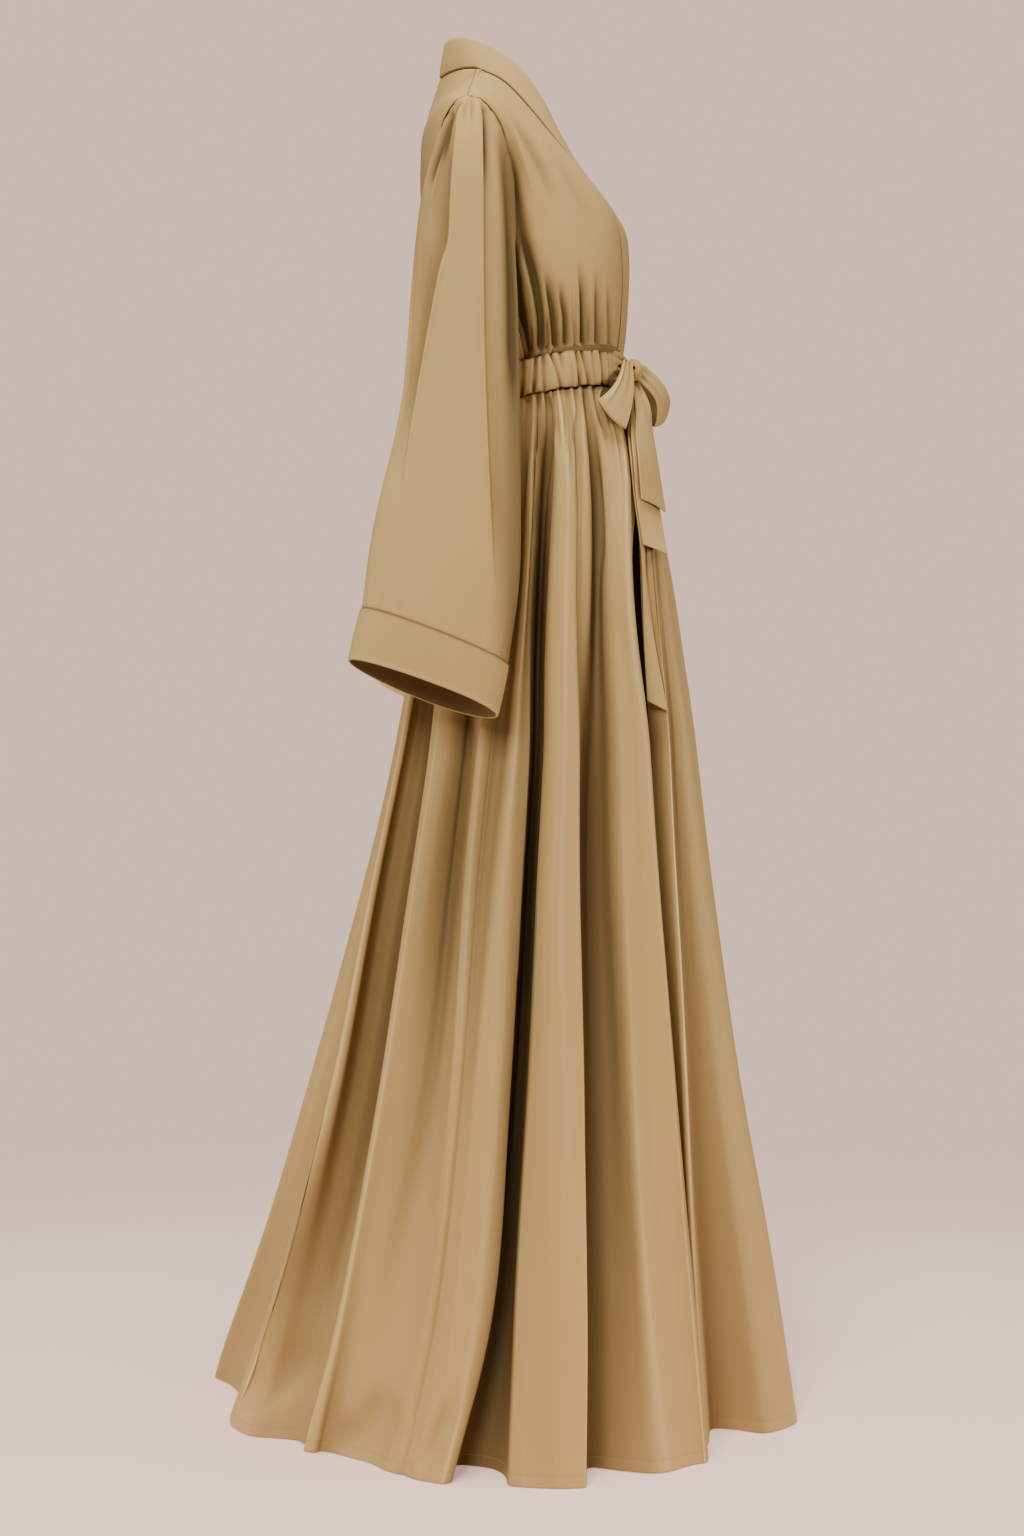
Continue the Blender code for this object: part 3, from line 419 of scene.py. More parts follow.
def emptyMaterial(name):
    made = bpy.data.materials.new(name)
    made.use_nodes = True
    made.node_tree.nodes.clear()
    return made, Wire(made.node_tree)


def finishMaterial(made, shader):
    end = made.node_tree.nodes.new("ShaderNodeOutputMaterial")
    made.node_tree.links.new(shader.socket, end.inputs["Surface"])
    return made


crepe = {
    "light": (0.5, 0.328, 0.126), "deep": (0.415, 0.265, 0.094),
    "paintedShadeColour": (0.076, 0.048, 0.02), "foldShade": 0.95,    # painted shade deep in a fold or seam
    "paintedHighlightColour": (0.85, 0.62, 0.34), "edgeLight": 2.2,       # painted highlight along the edge of a fold
    "roughness": 0.5, "specular": 0.5, "ior": 1.1,
    "weaveDepth": 0.000045, "slubDepth": 0.00022,  # height of the yarns and of the uneven places
    "threads": (7800.0, 6200.0),                   # warp and weft, in radians per metre
}


def satinCrepe(name, tone=1.0, turn=0.0):
    made, start = emptyMaterial(name)
    cut = start.node("ShaderNodeUVMap", {"uv_map": "cut"})
    cut = start.node("ShaderNodeMapping", None, {"Vector": cut, "Rotation": (0, 0, turn)})
    place = start.node("ShaderNodeTexCoord", out=3)
    parts = {axis: start.node("ShaderNodeSeparateXYZ", None, {0: cut}, out=axis) for axis in (0, 1)}
    # crepe yarns: fine crossing threads, broken up by the twist of the yarn
    twist = start.node("ShaderNodeTexNoise", {"noise_dimensions": "2D"},
                       {"Vector": cut, "Scale": 900.0, "Detail": 2.0, "Roughness": 0.6})
    sine = {"operation": "SINE"}
    warp, weft = (start.node("ShaderNodeMath", sine, {0: parts[axis] * threads + twist * 5.0})
                  for axis, threads in enumerate(crepe["threads"]))
    yarn = warp * 0.25 + weft * 0.25 + twist
    slub = start.node("ShaderNodeTexNoise", {"noise_dimensions": "3D"},
                      {"Vector": place, "Scale": 26.0, "Detail": 3.0, "Roughness": 0.5})
    cloud = start.node("ShaderNodeTexNoise", {"noise_dimensions": "3D"},
                       {"Vector": place, "Scale": 5.5, "Detail": 3.0, "Roughness": 0.55})
    lifted = start.node("ShaderNodeBump", None,
                        {"Strength": 1.0, "Distance": crepe["slubDepth"], "Height": slub})
    lifted = start.node("ShaderNodeBump", None, {
        "Strength": 0.6, "Distance": crepe["weaveDepth"], "Height": yarn, "Normal": lifted})
    # painted shade and highlight: the point attribute made with the cloth mixes the colour towards a dark
    # colour in folds, seams and closed-in places, and below 0 towards a light colour along fold edges
    depth = start.node("ShaderNodeAttribute", {"attribute_name": "hollow"}, out=2)
    blend = cloud * 0.55 + twist * 0.25 + 0.1
    light = tuple(c * tone for c in crepe["light"]) + (1,)
    deep = tuple(c * tone for c in crepe["deep"]) + (1,)
    colour = start.node("ShaderNodeMix", {"data_type": "RGBA", "clamp_factor": True},
                        {0: blend, 6: light, 7: deep}, out=2)
    shut = start.node("ShaderNodeClamp", None, {0: depth})
    shut = start.node("ShaderNodeMath", {"operation": "POWER"}, {0: shut, 1: 1.2})
    colour = start.node("ShaderNodeMix", {"data_type": "RGBA", "clamp_factor": True},
                        {0: shut * crepe["foldShade"], 6: colour, 7: (*crepe["paintedShadeColour"], 1)}, out=2)
    colour = start.node("ShaderNodeMix", {"data_type": "RGBA", "clamp_factor": True},
                        {0: depth * -crepe["edgeLight"], 6: colour, 7: (*crepe["paintedHighlightColour"], 1)}, out=2)
    rough = crepe["roughness"] + (twist - 0.5) * 0.1 + (cloud - 0.5) * 0.1
    shader = start.node("ShaderNodeBsdfPrincipled", None, {
        "Base Color": colour, "Roughness": rough,
        "Specular IOR Level": crepe["specular"], "IOR": crepe["ior"], "Normal": lifted})
    return finishMaterial(made, shader)


def sewingThread(name):
    made, start = emptyMaterial(name)
    place = start.node("ShaderNodeTexCoord", out=3)
    ply = start.node("ShaderNodeTexNoise", None, {"Vector": place, "Scale": 2600.0, "Detail": 1.0})
    colour = start.node("ShaderNodeMix", {"data_type": "RGBA"},
                        {0: ply, 6: (0.29, 0.19, 0.095, 1), 7: (0.4, 0.275, 0.15, 1)}, out=2)
    shader = start.node("ShaderNodeBsdfPrincipled", None,
                        {"Base Color": colour, "Roughness": 0.45 + ply * 0.15})
    return finishMaterial(made, shader)


def floorMaterial():
    made, start = emptyMaterial("paper_floor")
    place = start.node("ShaderNodeTexCoord", out=3)
    far = start.node("ShaderNodeVectorMath", {"operation": "LENGTH"}, {0: place}, out=1)
    near, end = studio["floorFade"]
    fade = start.node("ShaderNodeMapRange", {"interpolation_type": "SMOOTHSTEP"},
                      {0: far, 1: near, 2: end, 3: 0.0, 4: 1.0})
    grain = start.node("ShaderNodeTexNoise", None, {"Vector": place, "Scale": 3.0, "Detail": 2.0})
    light = (*studio["floorColour"], 1)
    dark = tuple(c * 0.97 for c in studio["floorColour"]) + (1,)
    colour = start.node("ShaderNodeMix", {"data_type": "RGBA"}, {0: grain, 6: light, 7: dark}, out=2)
    paper = start.node("ShaderNodeBsdfPrincipled", None,
                       {"Base Color": colour, "Roughness": 0.75, "Specular IOR Level": 0.2,
                        "Emission Color": (*studio["floorGlow"], 1),
                        "Emission Strength": studio["floorGlowStrength"]})
    clear = start.node("ShaderNodeBsdfTransparent")
    shader = start.node("ShaderNodeMixShader", None, {0: fade, 1: paper, 2: clear})
    return finishMaterial(made, shader)


floor.data.materials.append(floorMaterial())
clothMaterial = satinCrepe("satin_crepe")
trimMaterial = satinCrepe("satin_crepe_trim", 0.97, 0.4)
ribbonMaterial = satinCrepe("satin_crepe_ribbon", 0.99, 0.8)
threadMaterial = sewingThread("sewing_thread")
print("materials")


def declare(piece, material, nodes, withPieces=()):
    piece.data.materials.append(material)
    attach(piece, "root")
    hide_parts(*nodes)
    for part in withPieces:
        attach(part, "root")


stitch = {"pitch": 0.0032, "length": 0.0022, "radius": 0.00022}


def stitchLine(name, points, out, drop=0.00005):  # a row of small thread stitches lying on the cloth
    total = run(points)[-1]
    at = np.arange(stitch["pitch"] * 0.6, total - stitch["pitch"] * 0.5, stitch["pitch"])
    middle, up = evenly(points, at), unit(np.stack(
        [np.interp(at, run(points), out[:, k]) for k in range(3)], 1))
    after, before = np.minimum(at + 0.0006, total), np.maximum(at - 0.0006, 0)
    ahead = unit(evenly(points, after) - evenly(points, before))
    aside = unit(np.cross(up, ahead))
    middle = middle + up * drop
    rings = []
    for place, size in ((-0.5, 0.25), (-0.32, 1.0), (0.32, 1.0), (0.5, 0.25)):
        ring = []
        for turn in (0, 90, 180, 270):
            c, s = math.cos(math.radians(turn)), math.sin(math.radians(turn))
            ring.append(middle + ahead * place * stitch["length"]
                        + (aside * c + up * s) * size * stitch["radius"] - up * (1 - size) * 0.0002)
        rings.append(np.stack(ring, 1))
    verts = np.stack(rings, 1).reshape(-1, 3)  # stitch, ring, corner
    one = []
    for r in range(3):
        for c in range(4):
            a, b = r * 4 + c, r * 4 + (c + 1) % 4
            one.append((a, b, b + 4, a + 4))
    one += [(3, 2, 1, 0), (12, 13, 14, 15)]
    faces = (np.arange(len(at))[:, None, None] * 16 + np.array(one)).reshape(-1, 4)
    mesh = bpy.data.meshes.new(name)
    mesh.from_pydata([tuple(v) for v in verts], [], [tuple(map(int, f)) for f in faces])
    mesh.polygons.foreach_set("use_smooth", np.ones(len(faces), bool))
    mesh.update()
    piece = bpy.data.objects.new(name, mesh)
    bpy.context.collection.objects.link(piece)
    piece.data.materials.append(threadMaterial)
    return piece


# skirt: one gathered, flared strip cut into a back and two fronts
skirt = {
    "top": -0.345,         # height from which the folds' share of the length is counted
    "columns": 13,         # columns of cloth from one row of the table to the next
    "crest": 0.6,          # softness of the outer folds on the far side
    "sections": [          # height, front y, back y, half width
        (-0.345, -0.157, 0.03, 0.14), (-0.4, -0.18, 0.038, 0.158), (-0.52, -0.213, 0.055, 0.181),
        (-0.664, -0.236, 0.084, 0.203), (-0.9, -0.265, 0.142, 0.236), (-1.11, -0.293, 0.196, 0.264),
        (-1.33, -0.331, 0.26, 0.295), (-1.4445, -0.352, 0.3, 0.31)],
    # the folds from the free edge of the right front to the back, crests and hollows in turn:
    # bearing at the waist (0 front, 90 the wearer's right), then bearing and reach (1 is the
    # section's edge) at hip, thigh, calf, shin and hem, and how soft the fold's edge is
    "nearFolds": [
        (-4.0, 46.0, 0.907, 44.5, 0.856, 43.8, 0.866, 43.8, 0.843, 42.8, 0.845, 1.0),
        (5.0, 44.4, 0.947, 43.9, 0.904, 43.4, 0.917, 43.3, 0.902, 43.3, 0.894, 1.0),
        (24.0, 49.3, 0.992, 49.4, 0.974, 48.3, 0.974, 48.3, 0.964, 48.1, 0.962, 0.2),
        (31.0, 53.8, 0.999, 54.4, 0.967, 54.6, 0.967, 53.8, 0.96, 52.9, 0.963, 1.0),
        (41.0, 60.1, 0.975, 60.7, 0.951, 59.7, 0.954, 59.5, 0.949, 58.9, 0.953, 1.0),
        (47.0, 62.6, 0.927, 63.5, 0.889, 61.6, 0.906, 61.4, 0.912, 62.5, 0.909, 1.0),
        (53.0, 63.5, 0.858, 64.7, 0.787, 62.9, 0.83, 64.1, 0.85, 65.2, 0.867, 1.0),
        (58.0, 69.9, 0.941, 68.9, 0.753, 67.7, 0.785, 68.4, 0.805, 69.1, 0.822, 1.0),
        (63.5, 75.0, 0.949, 73.3, 0.821, 71.1, 0.85, 71.4, 0.86, 71.6, 0.87, 0.6),
        (66.0, 77.0, 0.981, 77.1, 0.975, 74.9, 1.001, 74.5, 1.003, 74.6, 1.007, 0.15),
        (71.0, 82.1, 0.987, 82.9, 0.986, 80.7, 1.007, 79.8, 1.003, 79.0, 1.005, 1.0),
        (75.5, 87.8, 0.957, 87.9, 0.965, 86.4, 0.984, 86.1, 0.976, 85.4, 0.974, 1.0),
        (78.0, 90.0, 0.912, 90.2, 0.936, 88.5, 0.955, 88.2, 0.949, 87.0, 0.95, 0.25),
        (79.5, 91.0, 0.84, 89.6, 0.786, 87.8, 0.805, 88.3, 0.845, 87.8, 0.878, 1.0),
        (81.0, 92.7, 0.763, 92.6, 0.703, 90.6, 0.719, 91.1, 0.745, 92.0, 0.768, 1.0),
        (83.5, 94.9, 0.787, 94.9, 0.728, 92.5, 0.727, 93.7, 0.733, 98.5, 0.747, 1.0),
        (87.0, 97.2, 0.913, 94.5, 0.916, 92.5, 0.913, 93.1, 0.912, 98.3, 0.923, 0.3),
        (89.0, 98.1, 0.926, 97.5, 0.939, 95.6, 0.94, 96.2, 0.937, 99.6, 0.945, 0.9),
        (92.0, 100.1, 0.915, 101.7, 0.946, 102.0, 0.951, 102.0, 0.941, 102.6, 0.94, 1.0),
        (97.0, 105.1, 0.853, 106.2, 0.921, 104.0, 0.942, 103.8, 0.925, 105.1, 0.922, 1.0),
        (103.0, 109.3, 0.931, 109.0, 0.95, 105.7, 0.936, 106.0, 0.896, 108.4, 0.881, 1.0),
        (107.0, 111.6, 0.957, 111.5, 0.971, 107.0, 0.936, 107.7, 0.894, 110.2, 0.877, 1.0),
        (111.0, 114.8, 0.986, 114.1, 0.97, 108.8, 0.931, 109.8, 0.877, 113.6, 0.859, 0.4),
        (114.5, 119.4, 0.939, 118.0, 0.875, 112.6, 0.884, 114.6, 0.847, 117.6, 0.834, 1.0),
        (118.0, 123.7, 0.917, 122.8, 0.847, 116.9, 0.859, 120.7, 0.836, 122.4, 0.814, 1.0),
        (122.0, 125.7, 0.952, 124.2, 0.889, 120.6, 0.89, 125.5, 0.848, 128.5, 0.79, 1.0),
        (128.0, 131.4, 0.958, 127.9, 0.967, 125.3, 0.933, 129.6, 0.866, 133.0, 0.8, 1.0),
        (133.0, 136.9, 0.987, 131.6, 1.002, 128.6, 0.955, 131.7, 0.88, 133.8, 0.823, 1.0),
        (135.5, 140.9, 0.982, 134.3, 0.994, 130.6, 0.947, 133.5, 0.874, 136.4, 0.833, 0.2),
        (137.0, 146.3, 0.916, 141.4, 0.886, 138.5, 0.829, 139.4, 0.799, 140.5, 0.787, 1.0),
        (139.5, 151.7, 0.909, 152.0, 0.847, 148.4, 0.796, 148.4, 0.764, 144.4, 0.781, 1.0),
        (143.0, 153.1, 0.951, 154.0, 0.92, 149.9, 0.864, 152.4, 0.81, 148.5, 0.84, 1.0),
        (147.0, 152.4, 1.0, 151.0, 0.996, 146.6, 0.961, 153.8, 0.882, 153.8, 0.892, 1.0),
        (150.0, 154.3, 1.02, 152.6, 1.016, 149.3, 0.993, 155.2, 0.94, 161.5, 0.913, 0.25),
        (152.0, 161.7, 0.967, 161.6, 0.949, 159.1, 0.919, 166.0, 0.897, 171.7, 0.889, 1.0),
        (155.0, 167.0, 0.979, 168.5, 0.939, 167.2, 0.908, 177.4, 0.892, 186.3, 0.88, 1.0),
        (160.0, 176.8, 0.988, 174.9, 0.949, 171.1, 0.945, 181.6, 0.944, 194.6, 0.959, 1.0),
        (167.0, 189.2, 1.04, 184.1, 0.977, 178.9, 0.982, 185.7, 1.002, 200.3, 1.061, 0.6)],
    "hidden": [            # the folds of the far side, bearing at waist, hip and hem, reach at hip and hem
        (175.0, 193.5, 206.0, 0.9, 0.9),
        (184.0, 197.0, 210.0, 0.86, 0.8), (192.0, 200.5, 212.0, 0.96, 0.9),
        (200.0, 203.5, 215.0, 0.98, 0.95), (208.0, 208.5, 219.0, 0.87, 0.81),
        (215.0, 214.5, 221.0, 0.97, 0.92), (221.0, 221.0, 225.0, 0.975, 0.945),
        (228.0, 228.0, 230.0, 0.86, 0.79), (238.0, 237.0, 238.0, 0.96, 0.93),
        (246.0, 244.0, 245.0, 0.975, 0.95), (257.0, 251.0, 251.5, 0.9, 0.85),
        (264.0, 259.0, 259.0, 0.86, 0.79), (272.0, 266.5, 266.0, 0.985, 0.95),
        (279.0, 273.5, 273.0, 1.0, 0.985), (287.0, 281.0, 281.0, 0.86, 0.8),
        (296.0, 289.5, 289.0, 0.99, 1.0), (303.0, 297.0, 297.0, 0.99, 0.985),
        (311.0, 305.0, 305.0, 0.86, 0.79), (319.0, 314.0, 314.0, 0.975, 0.96),
        (326.0, 321.0, 321.0, 0.97, 0.95), (332.0, 329.5, 329.0, 0.86, 0.81),
        (337.0, 338.0, 337.0, 0.98, 0.975), (341.0, 345.0, 344.0, 0.98, 0.97),
        (345.0, 352.0, 352.0, 0.9, 0.88)],
    "farFront": [          # the left front where it comes round to its free edge
        (350.0, 364.8, 0.982, 365.5, 0.978, 364.4, 0.998, 367.1, 1.014, 369.3, 1.0, 1.0),
        (352.5, 374.5, 0.995, 373.9, 0.974, 372.4, 0.993, 374.3, 1.001, 375.9, 0.999, 0.8),
        (355.0, 382.8, 0.997, 381.1, 0.949, 380.0, 0.939, 381.9, 0.94, 383.5, 0.94, 1.0),
        (357.0, 386.6, 0.987, 384.3, 0.909, 382.1, 0.864, 382.8, 0.851, 383.6, 0.84, 1.0),
        (358.5, 388.2, 0.982, 386.1, 0.893, 385.3, 0.833, 384.9, 0.798, 384.9, 0.767, 1.0),
        (360.0, 394.1, 1.024, 395.3, 0.948, 397.5, 0.902, 398.4, 0.86, 398.6, 0.843, 0.25),
        (362.0, 394.3, 0.981, 395.1, 0.88, 397.0, 0.861, 397.9, 0.833, 398.3, 0.823, 1.0),
        (364.0, 394.7, 0.912, 396.1, 0.818, 397.8, 0.8, 398.5, 0.781, 398.3, 0.781, 1.0)],
    "levels": (0.159, 0.359, 0.659, 0.841, 1.0),  # hip, thigh, calf, shin, hem
    "lap": (0.984, 0.955), # reach of the right and left free edges where they still cross
    # share of the folds' painted shade that the left front keeps just before its free edge, and beyond it
    "farShade": (0.85, 0.45),
    "sharp": 0.3,          # columns crowd towards a fold edge below this
    "seams": (20, 48),     # rows of folds at the side seams
    "gatherSpacing": 0.0088, "gatherSize": 0.0034, "gatherReach": 0.075,
    # gathers of the right side below the waistband
    "furrows": [
        (0.003, 0.004, 0.0035, 0, 0.5, -0.0607, -0.364, -0.0585, -0.4009, -0.0554, -0.4516, -0.053, -0.5),
        (0.005, 0.0035, 0.003, 0, 0.3, -0.07, -0.36, -0.071, -0.4, -0.0677, -0.4427, -0.0656, -0.52),
        (0.0046, 0.0028, 0.0036, 0, 0.5, -0.0778, -0.3563, -0.0813, -0.3833, -0.0802, -0.4174,
         -0.078, -0.48),
        (0.0036, 0.0026, 0.0032, 0, 0.6, -0.0856, -0.354, -0.0876, -0.3831, -0.0894, -0.4092,
         -0.0905, -0.435),
        (0.0036, 0.0026, 0.0032, 0, 0.6, -0.0938, -0.352, -0.098, -0.3745, -0.0988, -0.3986, -0.099, -0.43),
        (0.004, 0.003, 0.0034, 0, 0.5, -0.0999, -0.35, -0.1023, -0.3693, -0.104, -0.4001, -0.1047, -0.47),
        (0.0042, 0.0026, 0.0036, 0, 0.5, -0.1085, -0.348, -0.1117, -0.3711, -0.1103, -0.3998,
         -0.111, -0.4302, -0.1087, -0.4926),
        (0.0054, 0.004, 0.003, 0, 0.3, -0.12, -0.346, -0.1236, -0.3728, -0.1275, -0.414, -0.1304, -0.4479,
         -0.1333, -0.4902, -0.1345, -0.56),
        (0.0034, 0.003, 0.0028, 0, 0.6, -0.13, -0.344, -0.1346, -0.3728, -0.1427, -0.4036, -0.148, -0.44)],
    # soft dents where the hem meets the floor
    "dents": [
        (0.009, 0.03, 0.012, 0.4, 0.3, 0.15, -1.325, 0.1645, -1.35, 0.2004, -1.3921, 0.2466, -1.4282),
        (0.01, 0.012, 0.028, 0.4, 0.3, 0.075, -1.36, 0.0869, -1.3759, 0.1124, -1.412, 0.1446, -1.4373),
        (0.007, 0.01, 0.016, 0.4, 0.2, 0.01, -1.35, 0.025, -1.385, 0.042, -1.415, 0.052, -1.435)],
    "hemAbove": 0.0105,    # stitching of the narrow hem
    "seamDip": (0.0007, 0.0016), "hemDip": (0.00035, 0.0008),  # how deep and wide stitching presses in
    "back": {"flat": (1.1, 1.12), "area": 0.7, "held": "gathered", "restsOn": ["waistband_casing"]},
    "right": {"flat": (0.86, 1.12), "area": 0.47, "held": "gathered", "restsOn": ["waistband_casing"]},
    "left": {"flat": (1.24, 1.12), "area": 0.76, "held": "gathered", "restsOn": ["waistband_casing"]},
}


def skirtSection(z):
    table = np.array(skirt["sections"])
    front, back, half = through(-table[:, 0], table[:, 1:], -np.atleast_1d(z)).T
    return (front + back) / 2, (back - front) / 2, half


def skirtFolds():  # every fold as bearing and reach at the levels, with the softness of its edge
    hip = skirt["levels"][0]
    rows = [row[:-1] for row in skirt["nearFolds"]]
    soft = [row[-1] for row in skirt["nearFolds"]]
    table = np.array(skirt["hidden"])
    mean = table[:, 3] + table[:, 4]
    around = np.concatenate([[0], mean, [0]])
    for k, (waistAz, hipAz, hemAz, hipReach, hemReach) in enumerate(table):
        row = [waistAz]
        for v in skirt["levels"]:
            late = (v - hip) / (1 - hip)
            row += [hipAz + (hemAz - hipAz) * late ** 0.6, hipReach + (hemReach - hipReach) * late ** 0.7]
        rows.append(tuple(row))
        soft.append(skirt["crest"] if mean[k] > (around[k] + around[k + 2]) / 2 + 0.016 else 1.0)
    rows += [row[:-1] for row in skirt["farFront"]]
    soft += [row[-1] for row in skirt["farFront"]]
    return np.array(rows), np.array(soft)


def skirtStrip():
    folds, soft = skirtFolds()
    length = skirt["top"] - cloak["floor"]
    hemAz, hemReach = np.radians(folds[:, 9]), folds[:, 10]
    calfAz, calfReach = np.radians(folds[:, 5]), folds[:, 6]
    step = sum(np.hypot(np.diff(np.sin(az) * reach), np.diff(np.cos(az) * reach))
               for az, reach in ((hemAz, hemReach), (calfAz, calfReach))) / 2
    knots = np.concatenate([[0], np.cumsum(np.sqrt(step))])
    at = []
    for i in range(len(knots) - 1):  # columns crowd towards a sharp edge
        share = np.linspace(0, 1, skirt["columns"], endpoint=False)
        start, end = soft[i] < skirt["sharp"], soft[i + 1] < skirt["sharp"]
        if start and not end:
            share = share ** 1.6
        elif end and not start:
            share = 1 - (1 - share) ** 1.6
        at.append(knots[i] + (knots[i + 1] - knots[i]) * share)
    ends = [knots[0] + d for d in (0.004, 0.01)] + [knots[-1] - d for d in (0.004, 0.01)]
    close = [knots[i] + d for i in skirt["seams"] for d in (-0.008, -0.004, -0.002, 0.002, 0.004, 0.008)]
    at = np.unique(np.concatenate(at + [knots[-1:], close, ends]).round(6))
    seams = [int(np.argmin(abs(at - knots[i]))) for i in skirt["seams"]]
    # how far each fold has opened at a few heights, then smoothly between them
    hip = skirt["levels"][0]
    early = 0.06
    levels = np.array([0, early, *skirt["levels"]])
    opened = np.stack([np.stack([folds[:, 0], np.ones(len(folds))], 1)]
                      + [folds[:, k:k + 2] for k in (1, 3, 5, 7, 9)])
    share = np.array([(early / hip) ** 0.85, (early / hip) ** 0.7])
    opened = np.insert(opened, 1, opened[0] + (opened[1] - opened[0]) * share, axis=0)
    opened[1, :2, 1], opened[1, -4:, 1] = skirt["lap"]
    below = np.concatenate([[0, 0.0008, 0.0018, 0.0034], np.arange(0.006, 0.06, 0.0038),
                            np.arange(0.06, 0.13, 0.007), np.arange(0.13, 0.26, 0.013),
                            np.arange(0.26, length - 0.14, 0.026), length - 0.14 + np.arange(0, 0.12, 0.01),
                            length - np.array([0.018, 0.0145, 0.012, 0.0112, 0.0105, 0.0098, 0.009, 0.0065,
                                               0.0035, 0.0014, 0.0])])
    rows, waistRun = [], None
    for d in below:
        v = d / length
        az, reach = through(levels, opened, [v])[0].T
        az = np.radians(az)
        level = skirt["top"] - d
        mid, deep, half = (float(a[0]) for a in skirtSection(level))
        keys = np.stack([-np.sin(az) * half * reach, mid - np.cos(az) * deep * reach], 1)
        ring = through(knots, keys, at, soft)
        if waistRun is None:
            waistRun = run(ring)
        tuck = under(ring[:, 0], ring[:, 1]) * (np.arange(len(at)) > seams[1]) * max(0.0, 1 - v / 0.35)
        ring[:, 1] += tuck
        rows.append(np.column_stack([ring, waistHeight(ring[:, 1]) * (1 - v) + cloak["floor"] * v]))
    grid = np.array(rows)
    out = outward(grid)
    # gathers below the waistband: drawn ones on the right side, seeded ones all round
    plain = ripples(waistRun[None, :], below[:, None], 41, skirt["gatherSpacing"], skirt["gatherSize"],
                    skirt["gatherReach"])
    drawn = smooth((-0.03 - grid[..., 0]) / 0.03) * smooth((-0.04 - grid[..., 1]) / 0.02) * smooth(
        (grid[..., 1] + 0.146) / 0.01)
    edge = smooth(np.minimum(waistRun, waistRun[-1] - waistRun) / 0.015)
    shallow = grid - out * (plain * (1 - drawn) * edge)[..., None]
    shallow = furrows(shallow, out, skirt["furrows"])
    shallow = furrows(shallow, out, skirt["dents"])
    # long soft waves so that no panel is perfectly even
    draw = np.random.default_rng(7)
    wave = sum(0.0009 * np.sin((at[None, :] - at[0]) * draw.uniform(3, 14) + draw.uniform(0, 6.3)
                               + (below[:, None] / length) * draw.uniform(2, 5)) for k in range(5))
    grid = shallow + out * (wave * smooth(below / 0.1)[:, None])[..., None]
    # side seams and the stitched hem press into the cloth
    dip, wide = skirt["seamDip"]
    for column in seams:
        gone = np.linalg.norm(grid - grid[:, column:column + 1], axis=2)
        grid = grid - out * (dip * np.exp(-(gone / wide) ** 2))[..., None]
    up = length - below
    dip, wide = skirt["hemDip"]
    grid = grid - out * (dip * np.exp(-((up - skirt["hemAbove"]) / wide) ** 2))[:, None, None]
    grid[..., 2] = np.maximum(grid[..., 2], cloak["floor"])
    # painted shade of the folds from how far neighbours close each point in, with a painted highlight on
    # fold edges below 0, weaker on the far side of the left front
    plan = grid[..., :2] - np.array([0, 1]) * grid[..., 1].mean(1)[:, None, None]
    away = unit(np.concatenate([plan, np.zeros_like(grid[..., :1])], 2))
    before, beyond = skirt["farShade"]
    far = np.where(at > knots[-3], beyond, np.where(at > knots[-7], before, 1.0))
    return grid, outward(grid), seams, below, openness(grid, away, range(1, 64, 2)) * far


grid, out, seams, below, shut = skirtStrip()
hemRow = int(np.argmin(abs((below[-1] - below) - skirt["hemAbove"])))
spans = {"right": (0, seams[0]), "back": (seams[0], seams[1]), "left": (seams[1], len(grid[0]) - 1)}
for side, (first, last) in spans.items():
    face, normal = grid[:, first:last + 1], out[:, first:last + 1]
    name = "skirt_back" if side == "back" else "skirt_front_" + side
    hemLine = stitchLine(name + "_hem_stitches", face[hemRow, 3:-3], normal[hemRow, 3:-3])
    outerFace = face
    topNormal = normal
    if side == "back":  # the back's edges pass under the fronts at the side seams
        outerFace = tuckUnder(outerFace, normal, "first column", 0.003, 0.0014)
        padded = np.insert(normal, 0, normal[:, 0], 1)
        outerFace = tuckUnder(outerFace, padded, "last column", 0.003, 0.0014)
        topNormal = np.concatenate([normal[:, :1], normal, normal[:, -1:]], 1)
    outerFace = tuckUnder(outerFace, topNormal, "first row", cloak["tuckReach"], cloak["tuckSink"])
    innerFace = outerFace - np.insert(topNormal, 0, topNormal[0], 0) * cloak["wall"]
    innerFace[-1, :, 2] = outerFace[-1, :, 2]
    closed = shut[:, first:last + 1]
    closed = np.pad(closed, ((1, 0), (1, 1) if side == "back" else (0, 0)), mode="edge")
    piece = clothMesh(name + "_cloth", outerFace, innerFace, hollow=closed)
    declare(piece, clothMaterial, [name], [hemLine])
print("skirt")


